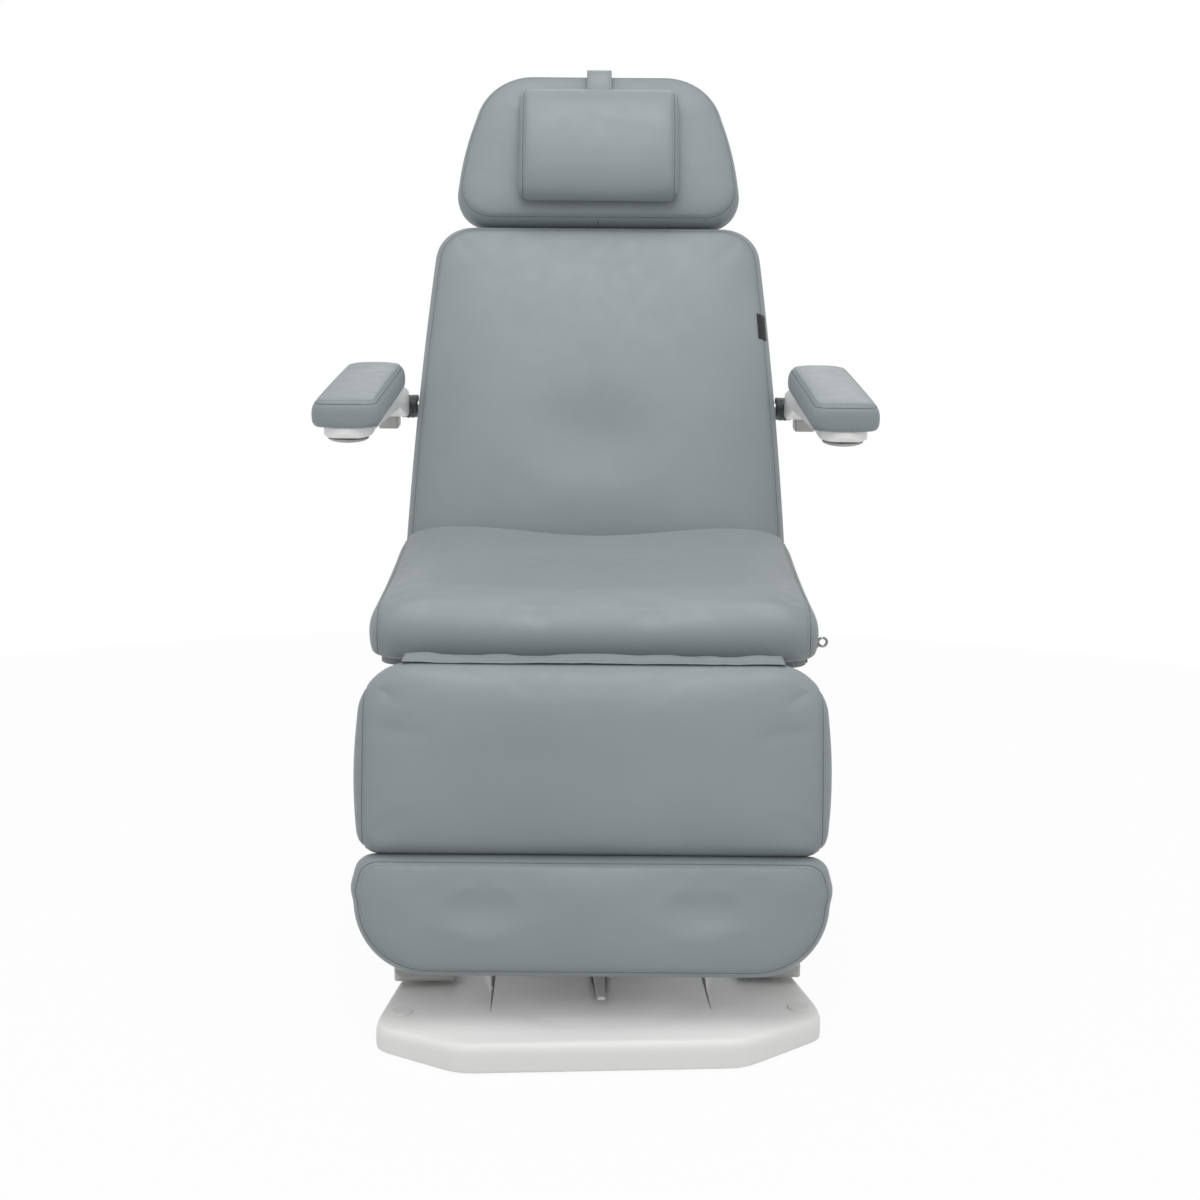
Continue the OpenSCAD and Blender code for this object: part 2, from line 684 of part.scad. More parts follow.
// Turntable and lifting column
module bearing_upper_ring() color("silver") at_axis()
    tube(ring_out, ring_in, beam_top + hub_plate_t + ring_h + ring_gap, turntable_top - ring_h);
module turntable_plate() color("dimgray") at_axis() z_rod(turn_plate_r, turntable_top - ring_h, turntable_top);
module turntable_cover() color("white") at_axis() difference() {
    rotate_extrude() polygon([[0, turntable_top], [turn_cover_r, turntable_top], [turn_cover_r, turntable_top + ring_h / 2],
        [turn_cover_r - ring_h, turntable_top + ring_h], [0, turntable_top + ring_h]]);
    translate([0, 0, turntable_top - over]) linear_extrude(ring_h + 2 * over)
        round_rect(column_w + slide_gap, column_d + slide_gap, column_corner_r);
}
module column_profile(k, low, top) {
    w = column_w - 2 * k * inset_step;
    d = column_d - 2 * k * inset_step;
    r = column_corner_r - k * slide_gap;
    translate([0, 0, low]) linear_extrude(top - low) difference() {
        round_rect(w, d, r);
        round_rect(w - 2 * column_wall, d - 2 * column_wall, r);
    }
}
module column_outer() color("gainsboro") at_axis() column_profile(0, turntable_top, outer_top);
module column_middle() color("silver") at_axis() column_profile(1, middle_low, middle_top);
module column_inner() color("gainsboro") at_axis() column_profile(2, inner_low, head_plate_z);
module lift_head() color("dimgray") at_axis() difference() {
    union() {
        span([-head_plate_w / 2, -head_plate_front, head_plate_z], [head_plate_w / 2, head_plate_rear, head_plate_z + head_plate_t]);
        both() {
            span([head_ear_x, tilt_y - tilt_lug_r, head_plate_z], [head_ear_x + head_ear_t, tilt_y + tilt_lug_r, tilt_z]);
            translate([0, tilt_y, tilt_z]) x_rod(tilt_lug_r, head_ear_x, head_ear_x + head_ear_t);
        }
    }
    translate([0, tilt_y, tilt_z]) x_rod(tilt_pin_r + run_gap, -head_plate_w, head_plate_w);
    translate([0, -tilt_act_y, 0]) z_rod(act_rod_r + over, head_plate_z - over, head_plate_z + head_plate_t + over);
}
module tilt_actuator() color("gray") at_axis() translate([0, -tilt_act_y, 0]) difference() {
    union() {
        z_rod(tilt_act_r, head_plate_z - tilt_act_l, head_plate_z);
        translate([tilt_motor_x, 0, 0]) z_rod(act_r, head_plate_z - tilt_act_l, head_plate_z - tilt_act_l + tilt_motor_l);
        span([0, -act_r, head_plate_z - tilt_act_l], [tilt_motor_x, act_r, head_plate_z - tilt_act_l + gearbox_l]);
    }
    z_rod(act_rod_r + run_gap, head_plate_z - tilt_act_l + act_r, head_plate_z + over);
}
module tilt_actuator_rod() color("silver") at_axis() translate([0, -tilt_act_y, 0]) difference() {
    union() {
        z_rod(act_rod_r, head_plate_z - tilt_act_l + 2 * act_r, tilt_rod_top - tilt_tang_l);
        span([-rod_eye_w / 2, -rod_eye_w / 2, tilt_rod_top - tilt_tang_l - over], [rod_eye_w / 2, rod_eye_w / 2, tilt_rod_top]);
        translate([0, 0, tilt_rod_top]) x_rod(rod_eye_r, -rod_eye_w / 2, rod_eye_w / 2);
    }
    translate([0, 0, tilt_rod_top]) x_rod(act_pin_r, -rod_eye_w, rod_eye_w);
}

// Seat
module actuator_ears(x, y, z) translate([x, y, 0]) both() {
    x0 = act_eye_w / 2 + ear_gap;
    span([x0, -act_eye_r, z], [x0 + act_ear_t, act_eye_r, pan_top - plate_t]);
    translate([0, 0, z]) x_rod(act_eye_r, x0, x0 + act_ear_t);
}
module seat_pan() color("dimgray") at_axis() difference() {
    b = [back_hinge_y, back_hinge_z];
    union() {
        span([-side_x - side_plate_t, -pan_front, pan_top - plate_t], [side_x + side_plate_t, pan_rear, pan_top]);
        both() {
            span([side_x, -pan_front, pan_top - pan_flange], [side_x + side_plate_t, pan_rear, pan_top]);
            span([side_x, -leg_hinge_y, leg_hinge_z - lug_r], [side_x + side_plate_t, -pan_front, pan_top]);
            translate([0, -leg_hinge_y, leg_hinge_z]) x_rod(lug_r, side_x, side_x + side_plate_t);
            x_plate(side_x, side_plate_t, [[pan_rear - lug_r, pan_top], [b.x - neck_y, b.y - neck_top],
                b + [-0.86, -0.57] * lug_r, b + [0.7, -0.7] * lug_r, [b.x - lug_r / 2, b.y - neck_low + lug_r / 2],
                [b.x - neck_y, b.y - neck_low], [pan_rear - lug_r, pan_top - pan_flange]]);
            translate([0, b.x, b.y]) x_rod(lug_r, side_x, side_x + side_plate_t);
            span([tilt_lug_x, tilt_y - tilt_lug_r, tilt_z], [tilt_lug_x + flange_t, tilt_y + tilt_lug_r, pan_top - plate_t]);
            translate([0, tilt_y, tilt_z]) x_rod(tilt_lug_r, tilt_lug_x, tilt_lug_x + flange_t);
        }
        actuator_ears(-act_x, leg_act_y, leg_act_z);
        actuator_ears(act_x, back_act_y, back_act_z);
        translate([rod_eye_w / 2 + ear_gap, -tilt_act_y, 0]) {
            span([0, -rod_eye_r, tilt_rod_top], [lever_t, rod_eye_r, pan_top - plate_t]);
            translate([0, 0, tilt_rod_top]) x_rod(rod_eye_r, 0, lever_t);
        }
    }
    both() {
        translate([0, -leg_hinge_y, leg_hinge_z]) x_rod(pin_r, side_x - over, side_x + side_plate_t + over);
        translate([0, b.x, b.y]) x_rod(pin_r, side_x - over, side_x + side_plate_t + over);
        translate([0, tilt_y, tilt_z]) x_rod(tilt_pin_r, tilt_lug_x - over, tilt_lug_x + flange_t + over);
    }
    translate([0, leg_act_y, leg_act_z]) x_rod(act_pin_r, -2 * act_x, 0);
    translate([0, back_act_y, back_act_z]) x_rod(act_pin_r, 0, 2 * act_x);
    translate([0, -tilt_act_y, tilt_rod_top]) x_rod(act_pin_r, 0, act_x / 2);
}
module tilt_pin() color("silver") at_axis() translate([0, tilt_y, tilt_z])
    x_rod(tilt_pin_r, -tilt_lug_x - flange_t - pin_head, tilt_lug_x + flange_t + pin_head);
module recline_pins() color("silver") at_axis() both() translate([0, back_hinge_y, back_hinge_z])
    x_rod(pin_r, side_x - pin_head, back_flange_x + flange_t + pin_head);
module leg_pins() color("silver") at_axis() both() translate([0, -leg_hinge_y, leg_hinge_z])
    x_rod(pin_r, leg_flange_x - pin_head, side_x + side_plate_t + pin_head);
module actuator_pins() color("silver") at_axis() {
    half = act_eye_w / 2 + ear_gap + act_ear_t + pin_head;
    translate([-act_x, leg_act_y, leg_act_z]) x_rod(act_pin_r, -half, half);
    translate([act_x, back_act_y, back_act_z]) x_rod(act_pin_r, -half, half);
}
seat_lean = 1 / tan(back_angle);
module seat_board() color("burlywood") at_axis() board(cushion_outline(-seat_front + board_margin, seat_rear - board_margin,
    seat_w - 2 * board_margin, seat_w - 2 * board_margin, seat_corner_r - board_margin, low_corner_r - board_margin), pan_top);
module seat_cushion() color("lightslategray") at_axis() translate([0, 0, seat_bottom])
    cushion(cushion_outline(-seat_front, seat_rear, seat_w, seat_w, seat_corner_r, low_corner_r), seat_thick,
        seat_crown, seat_edge_r, seat_lean, function (x, y)
            hollow(x, y, 0, seat_rear / 2, seat_w / 4, seat_rear, seat_dish)
            - seat_rise * pow(max(0, y / seat_rear), 1.5));
module accessory_ring() color("silver") at_axis() translate([seat_w / 2 - board_margin, ring_y, pan_top + board_t / 2]) {
    foot = [wire_r, 0, 0];
    eye = [board_margin + ring_r + 2 * wire_r - over, 0, ring_rise];
    reach = eye + [-1, 0, -1] * ring_r * 0.72 - foot;
    span([0, -4 * wire_r, -board_t / 2 + over], [wire_r, 4 * wire_r, board_t / 2 - over]);
    translate(foot - [wire_r / 2, 0, 0]) rotate([0, atan2(reach.x, reach.z), 0]) cylinder(r = wire_r, h = norm(reach));
    translate(eye) rotate([90, 0, 0]) rotate_extrude() translate([ring_r, 0]) circle(wire_r);
}
// Slack cloth between the seat and the leg rest: its line in side view, and how far each point of it waves
module gap_flap() {
    line = [[-seat_front + board_margin - soft_gap, pan_top + board_t / 2],
        [-leg_hinge_y + lug_r * 0.72, leg_hinge_z + lug_r * 0.82], [-leg_hinge_y, leg_hinge_z + lug_r * 1.2],
        leg_pt(-lug_r * 0.9, lug_r * 2), leg_pt(-leg_over - flap_t * 0.7, leg_thick * 0.7),
        leg_pt(-leg_over + flap_t * 0.4, leg_thick * 0.9)];
    wave_shares = [0, 0.3, 0.6, 1, 0.7, 0.4];
    rows = len(line);
    function at(i, j, up) = let (t = i / flap_steps)
        [flap_w * (t - 0.5), line[j].x, line[j].y + up
            + flap_wave * wave_shares[j] * (1 + sin(360 * flap_waves * t + 40 * j) * cos(360 * t)) / 2];
    points = concat([for (i = [0 : flap_steps], j = [0 : rows - 1]) at(i, j, 0)],
                    [for (i = [0 : flap_steps], j = [0 : rows - 1]) at(i, j, flap_t)]);
    n = (flap_steps + 1) * rows;
    quads = concat(
        [for (i = [0 : flap_steps - 1], j = [0 : rows - 2]) let (a = i * rows + j) [a, a + 1, a + rows + 1, a + rows]],
        [for (i = [0 : flap_steps - 1], j = [0 : rows - 2]) let (a = n + i * rows + j) [a, a + rows, a + rows + 1, a + 1]],
        [for (i = [0 : flap_steps - 1]) let (a = i * rows) [a, a + rows, a + rows + n, a + n]],
        [for (i = [0 : flap_steps - 1]) let (a = i * rows + rows - 1) [a, a + n, a + rows + n, a + rows]],
        [for (j = [0 : rows - 2]) [j, j + n, j + 1 + n, j + 1]],
        [for (j = [0 : rows - 2]) let (a = n - rows + j) [a, a + 1, a + 1 + n, a + n]]);
    color("lightsteelblue") at_axis()
        polyhedron(points, [for (q = quads) each [[q[0], q[1], q[2]], [q[0], q[2], q[3]]]], convexity = 8);
}

// Lying actuators, built along +Y from their rear pins; drop sets the motor's side
function heading(from, to) = atan2(to.y - from.y, to.x - from.x);
leg_from = [leg_act_y, leg_act_z];
leg_to = leg_pt(leg_lever_u, leg_lever_w);
back_from = [back_act_y, back_act_z];
back_to = back_pt(back_lever_u, back_lever_w);
module actuator(tube_l, drop) difference() {
    union() {
        x_rod(act_eye_r, -act_eye_w / 2, act_eye_w / 2);
        span([-act_eye_w / 2, 0, -act_eye_r / 2], [act_eye_w / 2, tube_start + over, act_eye_r / 2]);
        y_rod(act_r, tube_start, tube_l);
        translate([0, 0, drop]) y_rod(act_motor_r, tube_start, tube_start + motor_l);
        span([-act_motor_r, tube_start, min(0, drop)], [act_motor_r, tube_start + gearbox_l, max(0, drop)]);
    }
    x_rod(act_pin_r + run_gap, -act_eye_w, act_eye_w);
    y_rod(act_rod_r + run_gap, bore_start, tube_l + over);
}
module actuator_rod(back, l) difference() {
    union() {
        y_rod(act_rod_r, back, l - rod_tang_l);
        span([-rod_eye_w / 2, l - rod_tang_l - over, -rod_eye_w / 2], [rod_eye_w / 2, l, rod_eye_w / 2]);
        translate([0, l, 0]) x_rod(rod_eye_r, -rod_eye_w / 2, rod_eye_w / 2);
    }
    translate([0, l, 0]) x_rod(act_pin_r, -rod_eye_w, rod_eye_w);
}
module at_leg_actuator() at_axis() translate([-act_x, leg_act_y, leg_act_z]) rotate([heading(leg_from, leg_to), 0, 0]) children();
module at_back_actuator() at_axis() translate([act_x, back_act_y, back_act_z]) rotate([heading(back_from, back_to), 0, 0]) children();
module leg_actuator() color("gray") at_leg_actuator() actuator(leg_tube_l, act_motor_drop);
module leg_actuator_rod() color("silver") at_leg_actuator() actuator_rod(leg_rod_back, norm(leg_to - leg_from));
module back_actuator() color("gray") at_back_actuator() actuator(back_tube_l, -act_motor_drop);
module back_actuator_rod() color("silver") at_back_actuator() actuator_rod(back_rod_back, norm(back_to - back_from));

// Backrest
module back_pan() color("dimgray") at_back() difference() {
    edge = back_flange_x + flange_t;
    union() {
        span([-edge, -back_plate_down, back_plate_w], [edge, back_plate_up, back_plate_w + plate_t]);
        both() {
            span([back_flange_x, 0, back_flange_low], [edge, back_plate_up, back_plate_w]);
            x_rod(lug_r, back_flange_x, edge);
            translate([head_rod_x, 0, head_rod_w]) y_rod(head_guide_r, head_guide_low, head_guide_up);
        }
        x_plate(lever_x, lever_t, [[back_plate_down, back_plate_w], [4 * lug_r, back_plate_w], [lug_r, -lug_r],
            [back_lever_u + rod_eye_r * 0.7, back_lever_w - rod_eye_r * 0.7],
            [back_lever_u - rod_eye_r * 0.7, back_lever_w + rod_eye_r * 0.7]]);
        translate([0, back_lever_u, back_lever_w]) x_rod(rod_eye_r, lever_x, lever_x + lever_t);
    }
    both() {
        x_rod(pin_r + run_gap, back_flange_x - over, edge + over);
        translate([head_rod_x, 0, head_rod_w]) y_rod(head_rod_r + run_gap, head_guide_low - over, head_guide_up + over);
    }
    translate([0, back_lever_u, back_lever_w]) x_rod(act_pin_r, lever_x - over, lever_x + lever_t + over);
}
module back_board() color("burlywood") at_back() board(cushion_outline(-back_down + board_margin, back_up - board_margin,
    back_w - 2 * board_margin, back_top_w - 2 * board_margin, low_corner_r, back_corner_r - board_margin), back_board_w);
module back_cushion() color("lightslategray") at_back() translate([0, 0, back_face - back_thick])
    cushion(cushion_outline(-back_down, back_up, back_w, back_top_w, low_corner_r, back_corner_r, cushion_bow), back_thick,
        back_crown, back_edge_r, 0,
        function (x, y) hollow(x, y, 0, back_up * 0.37, back_w / 6, back_up / 9, lumbar_dent));
module arm_stubs() color("silver") at_back() both() translate([0, arm_up, 0]) {
    x_rod(stub_r, back_flange_x + flange_t, hub_x + hub_w - hub_wall - cap_gap);
    x_rod(stub_collar_r, back_flange_x + flange_t, back_flange_x + flange_t + stub_collar_t);
}
module arm_sleeves() color("darkslategray") at_back() both() translate([0, arm_up, 0]) difference() {
    x_rod(sleeve_r, sleeve_x, sleeve_end);
    x_rod(stub_r, sleeve_x - over, sleeve_end + over);
}

// Headrest
module head_rods() color("silver") at_back() both() translate([head_rod_x, 0, head_rod_w])
    y_rod(head_rod_r, head_rod_low, head_rod_up);
module head_bracket() color("dimgray") at_back() difference() {
    union() {
        span([-head_plate_x, head_block_low, back_plate_w], [head_plate_x, head_plate_up, back_plate_w + plate_t]);
        both() span([head_rod_x - head_block, head_block_low, head_rod_w - head_block],
            [head_rod_x + head_block, head_rod_up, back_plate_w]);
    }
    both() translate([head_rod_x, 0, head_rod_w]) y_rod(head_rod_r, head_block_low - over, head_rod_up);
}
module head_board() color("burlywood") at_back() board(cushion_outline(head_low + board_margin, head_low + head_l - board_margin,
    head_w - 2 * board_margin, head_top_w - 2 * board_margin, low_corner_r, head_corner_r - board_margin), back_board_w);
module head_cushion() color("lightslategray") at_back() translate([0, 0, back_face - head_thick])
    cushion(cushion_outline(head_low, head_low + head_l, head_w, head_top_w, low_corner_r + board_margin, head_corner_r, cushion_bow),
        head_thick, head_crown, head_edge_r);
pillow_low = head_low + pillow_margin;
module neck_pillow() color("lightslategray") at_back() translate([0, 0, back_face + soft_gap])
    cushion(cushion_outline(pillow_low, pillow_low + pillow_l, pillow_w, pillow_w, pillow_corner_r, pillow_corner_r),
        pillow_thick, pillow_crown, pillow_edge_r);
module pillow_strap() color("lightslategray") at_back() {
    top = head_low + head_l;
    t = flap_t;
    start = pillow_low + pillow_l + soft_gap;
    out_line = [[start, back_face + 4 * t], [top - board_margin, back_face], [top + 2 * t, back_face - board_margin],
        [top + 2 * t, back_board_w + board_t], [top - board_margin / 2, back_board_w - t], [top - 4 * board_margin, back_board_w - t]];
    in_line = [[start, back_face + 3 * t], [top - board_margin, back_face - t], [top + t, back_face - board_margin - t],
        [top + t, back_board_w + board_t], [top - board_margin / 2, back_board_w], [top - 4 * board_margin, back_board_w]];
    x_plate(-strap_w / 2, strap_w, concat(out_line, [for (i = [len(in_line) - 1 : -1 : 0]) in_line[i]]));
}

// Leg rest and footrest
module leg_frame() color("dimgray") at_leg() difference() {
    edge = leg_flange_x + flange_t;
    union() {
        span([-edge, board_margin, leg_plate_w], [edge, leg_plate_l, leg_plate_w + plate_t]);
        both() {
            span([leg_flange_x, 0, leg_flange_low], [edge, leg_plate_l, leg_plate_w]);
            x_rod(lug_r, leg_flange_x, edge);
            translate([foot_rod_x, 0, 0]) y_rod(foot_guide_r, foot_guide_low, leg_plate_l);
            span([foot_rod_x - foot_guide_r / 2, foot_guide_low, foot_guide_r / 2],
                [foot_rod_x + foot_guide_r / 2, leg_plate_l, leg_plate_w]);
        }
        x_plate(lever_x, lever_t, [[leg_lever_u - 3 * rod_eye_r, leg_plate_w], [leg_lever_u + 3 * rod_eye_r, leg_plate_w],
            [leg_lever_u + rod_eye_r, leg_lever_w], [leg_lever_u - rod_eye_r, leg_lever_w]]);
        translate([0, leg_lever_u, leg_lever_w]) x_rod(rod_eye_r, lever_x, lever_x + lever_t);
    }
    both() {
        x_rod(pin_r + run_gap, leg_flange_x - over, edge + over);
        translate([foot_rod_x, 0, 0]) y_rod(foot_rod_r + run_gap, foot_guide_low - over, leg_plate_l + over);
    }
    translate([0, leg_lever_u, leg_lever_w]) x_rod(act_pin_r, lever_x - over, lever_x + lever_t + over);
}
module leg_board() color("burlywood") at_leg() board(cushion_outline(board_margin, leg_l - board_margin,
    leg_w - 2 * board_margin, leg_w - 2 * board_margin, leg_top_corner_r - board_margin, leg_corner_r - board_margin),
    leg_board_w);
module leg_cushion() color("lightslategray") at_leg() translate([0, 0, leg_face - leg_thick])
    cushion(cushion_outline(-leg_over, leg_l, leg_w - 2 * cushion_bow, leg_w - 2 * cushion_bow, leg_top_corner_r,
        leg_corner_r, cushion_bow), leg_thick, leg_crown, leg_edge_r);
module foot_frame() color("dimgray") at_leg() difference() {
    union() {
        span([-foot_plate_x, foot_low + board_margin, foot_board_w - foot_plate_t], [foot_plate_x, foot_rod_up, foot_board_w]);
        both() span([foot_rod_x - foot_block, foot_rod_up - foot_block_l, -foot_rod_r - plate_t],
            [foot_rod_x + foot_block, foot_rod_up, foot_board_w - foot_plate_t]);
    }
    both() translate([foot_rod_x, 0, 0]) y_rod(foot_rod_r, foot_rod_up - foot_block_l - over, foot_rod_up + over);
}
module foot_rods() color("silver") at_leg() both() translate([foot_rod_x, 0, 0]) y_rod(foot_rod_r, foot_rod_low, foot_rod_up);
module foot_board() color("burlywood") at_leg() board(cushion_outline(foot_low + board_margin, foot_low + foot_l - board_margin,
    foot_w - 2 * board_margin, foot_w - 2 * board_margin, leg_corner_r - board_margin, foot_corner_r - board_margin), foot_board_w);
module foot_cushion() color("lightslategray") at_leg() translate([0, 0, leg_face - foot_thick])
    cushion(cushion_outline(foot_low, foot_low + foot_l, foot_w - 2 * cushion_bow, foot_w - 2 * cushion_bow,
        leg_corner_r * 0.8, foot_corner_r, cushion_bow), foot_thick, foot_crown, foot_edge_r, 0, function (x, y)
            hollow(abs(x), y, foot_w * 0.23, foot_low + foot_l * 0.4, foot_w * 0.09, foot_l * 0.24, heel_dent));

// Armrests, built on the right and mirrored
module arm_hub() translate([0, arm_y, arm_z]) difference() {
    union() {
        x_rod(hub_r, hub_x, hub_x + hub_w);
        span([hub_x, -hub_r, -hub_drop], [hub_x + hub_w, hub_r, 0]);
        x_rod(hub_boss_r, hub_x + hub_w, shell_out);
    }
    x_rod(stub_r + run_gap, hub_x - over, hub_x + hub_w - hub_wall);
}
module arm_shell() difference() {
    front = arm_reach - arm_edge_r / 2;
    union() {
        intersection() {
            x_plate(arm_x - arm_shell_w / 2, arm_shell_w, [[-front, arm_rise], [-front, arm_rise * 0.84],
                [-front + arm_edge_r / 2, arm_rise * 0.74], [-front * 0.85, arm_rise * 0.74], [-front * 0.27, arm_rise * 0.36],
                [-2 * shell_back, -hub_boss_r], [-shell_back, -hub_boss_r - over], [-shell_back, arm_rise / 2],
                [-front * 0.27, arm_rise]]);
            translate([arm_x, 0, -arm_reach / 2]) linear_extrude(arm_reach) union() {
                translate([0, -front + arm_shell_w / 2]) circle(arm_shell_w / 2);
                translate([-arm_shell_w / 2, -front + arm_shell_w / 2]) square([arm_shell_w, front]);
            }
        }
        span([cheek_x, -2 * shell_back, -hub_boss_r], [shell_out, 0, cheek_r]);
        x_rod(cheek_r, cheek_x, shell_out);
    }
    x_rod(hub_boss_r + run_gap, cheek_x - over, shell_out + over);
}
module arm_pad() translate([arm_x, 0, arm_rise]) cushion(cushion_outline(-arm_reach, -arm_reach + arm_pad_l, arm_pad_w, arm_pad_w,
    arm_corner_r, arm_corner_r + arm_edge_r), arm_pad_t, arm_crown, arm_edge_r);
module arm_cap() translate([arm_x, -arm_reach + arm_cap_d * 0.75, arm_rise * 0.74]) rotate_extrude() polygon(concat([[0, 0]],
    [for (a = [0 : 15 : 90]) [arm_cap_d / 2 * cos(a), -arm_cap_lip - (arm_cap_h - arm_cap_lip) * sin(a)]],
    [[0, 0]]) );
module arm_hub_left() color("tan") at_axis() one_side(1) arm_hub();
module arm_hub_right() color("tan") at_axis() one_side(0) arm_hub();
module arm_shell_left() color("white") at_arm() one_side(1) arm_shell();
module arm_shell_right() color("white") at_arm() one_side(0) arm_shell();
module arm_pad_left() color("lightslategray") at_arm() one_side(1) arm_pad();
module arm_pad_right() color("lightslategray") at_arm() one_side(0) arm_pad();
module arm_cap_left() color("gainsboro") at_arm() one_side(1) arm_cap();
module arm_cap_right() color("gainsboro") at_arm() one_side(0) arm_cap();

base_spine();
base_crossbeams();
levelling_feet();
base_cover();
cover_caps();
mains_inlet();
control_box();
bearing_lower_ring();
lock_lever();
pedal_left();
pedal_right();
bearing_upper_ring();
turntable_plate();
turntable_cover();
column_outer();
column_middle();
column_inner();
lift_head();
tilt_actuator();
tilt_actuator_rod();
seat_pan();
seat_board();
seat_cushion();
accessory_ring();
tilt_pin();
recline_pins();
leg_pins();
actuator_pins();
gap_flap();
leg_actuator();
leg_actuator_rod();
back_actuator();
back_actuator_rod();
back_pan();
back_board();
back_cushion();
arm_stubs();
arm_sleeves();
head_rods();
head_bracket();
head_board();
head_cushion();
neck_pillow();
pillow_strap();
leg_frame();
leg_board();
leg_cushion();
foot_frame();
foot_rods();
foot_board();
foot_cushion();
arm_hub_left();
arm_hub_right();
arm_shell_left();
arm_shell_right();
arm_pad_left();
arm_pad_right();
arm_cap_left();
arm_cap_right();
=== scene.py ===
"""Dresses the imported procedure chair: upholstery, moulded shells, metal, and the studio that it stands in."""
import json
import logging
import math
from dataclasses import dataclass, field
from enum import Enum
from functools import cache
from typing import Callable

import bmesh
import bpy
from mathutils import Matrix, Vector, noise
from mathutils.bvhtree import BVHTree
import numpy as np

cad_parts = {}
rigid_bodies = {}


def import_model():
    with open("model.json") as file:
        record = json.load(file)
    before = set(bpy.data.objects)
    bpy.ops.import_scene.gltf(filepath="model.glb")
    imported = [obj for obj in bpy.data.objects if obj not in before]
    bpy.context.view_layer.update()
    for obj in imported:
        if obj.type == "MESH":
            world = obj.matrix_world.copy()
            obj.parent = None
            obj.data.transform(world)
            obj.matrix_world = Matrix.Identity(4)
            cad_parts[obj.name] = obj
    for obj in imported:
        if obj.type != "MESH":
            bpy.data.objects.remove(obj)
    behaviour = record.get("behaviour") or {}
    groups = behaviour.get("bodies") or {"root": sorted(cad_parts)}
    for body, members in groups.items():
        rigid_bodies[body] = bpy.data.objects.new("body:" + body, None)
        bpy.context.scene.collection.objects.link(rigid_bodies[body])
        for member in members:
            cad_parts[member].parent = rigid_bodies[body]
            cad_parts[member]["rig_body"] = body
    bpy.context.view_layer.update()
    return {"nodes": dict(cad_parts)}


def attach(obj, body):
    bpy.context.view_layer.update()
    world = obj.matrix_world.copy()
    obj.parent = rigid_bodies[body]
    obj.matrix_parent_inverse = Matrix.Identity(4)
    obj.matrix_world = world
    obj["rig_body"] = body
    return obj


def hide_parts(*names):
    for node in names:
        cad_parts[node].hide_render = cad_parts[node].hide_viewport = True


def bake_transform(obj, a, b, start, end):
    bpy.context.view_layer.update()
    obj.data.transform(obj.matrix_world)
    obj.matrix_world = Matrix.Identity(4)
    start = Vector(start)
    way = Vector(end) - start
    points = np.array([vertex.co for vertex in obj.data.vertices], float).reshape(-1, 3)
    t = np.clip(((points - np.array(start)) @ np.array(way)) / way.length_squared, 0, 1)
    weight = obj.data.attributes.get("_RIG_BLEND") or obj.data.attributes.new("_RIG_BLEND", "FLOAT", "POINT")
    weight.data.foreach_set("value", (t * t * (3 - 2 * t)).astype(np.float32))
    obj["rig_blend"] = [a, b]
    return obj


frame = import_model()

log = logging.getLogger("procedure_chair")
Relief = Callable[[float, float], float]
Triple = tuple[float, float, float]
Ring = list[tuple[float, float]]
Socket = bpy.types.NodeSocket
Piece = bpy.types.Object
BMesh, BMVert, BMEdge = bmesh.types.BMesh, bmesh.types.BMVert, bmesh.types.BMEdge


class Nodes:
    """A node tree under construction."""

    def __init__(self, tree: bpy.types.NodeTree) -> None:
        """Work on a tree."""
        self.tree = tree

    def link(self, source: Socket, target: Socket) -> None:
        """Join two sockets."""
        self.tree.links.new(source, target)

    def node(self, kind: str, vector: Socket | None = None,
             **values: float | tuple[float, ...]) -> bpy.types.Node:
        """Add a node.

        Args:
            kind: Its type, without the prefix.
            vector: What feeds its Vector input, if anything does.
            values: Plain values of its inputs, by name.

        Returns:
            The node.
        """
        node = self.tree.nodes.new(f"ShaderNode{kind}")
        for name, value in values.items():
            node.inputs[name].default_value = value
        if vector:
            self.link(vector, node.inputs["Vector"])
        return node

    def math(self, operation: str, a: Socket, b: Socket | float) -> Socket:
        """One Math node.

        Args:
            operation: The node's operation.
            a: The first value.
            b: The second value, a socket or a number.

        Returns:
            The value socket.
        """
        node = self.node("Math")
        node.operation = operation
        self.link(a, node.inputs[0])
        if isinstance(b, float):
            node.inputs[1].default_value = b
        else:
            self.link(b, node.inputs[1])
        return node.outputs[0]

    def whiten(self, plain: str, glow: str, output: str, rays: str, share: float) -> None:
        """Mix plain white light into a surface where some kinds of ray meet it.

        Args:
            plain: The node that shades it without the white.
            glow: The type of node that gives the white.
            output: The output node.
            rays: The kinds of ray, as the Light Path node names them.
            share: How much of the white is mixed in.
        """
        path = self.node("LightPath").outputs
        met, *others = [path[f"Is {ray} Ray"] for ray in rays.split()]
        for kind in others:
            met = self.math("MAXIMUM", met, kind)
        white = self.node(glow, Color=(1, 1, 1, 1), Strength=1.0).outputs[0]
        mix = self.node("MixShader")
        shaded = self.tree.nodes[plain].outputs[0]
        for target, source in zip(mix.inputs, (self.math("MULTIPLY", met, share), shaded, white)):
            self.link(source, target)
        self.link(mix.outputs[0], self.tree.nodes[output].inputs["Surface"])


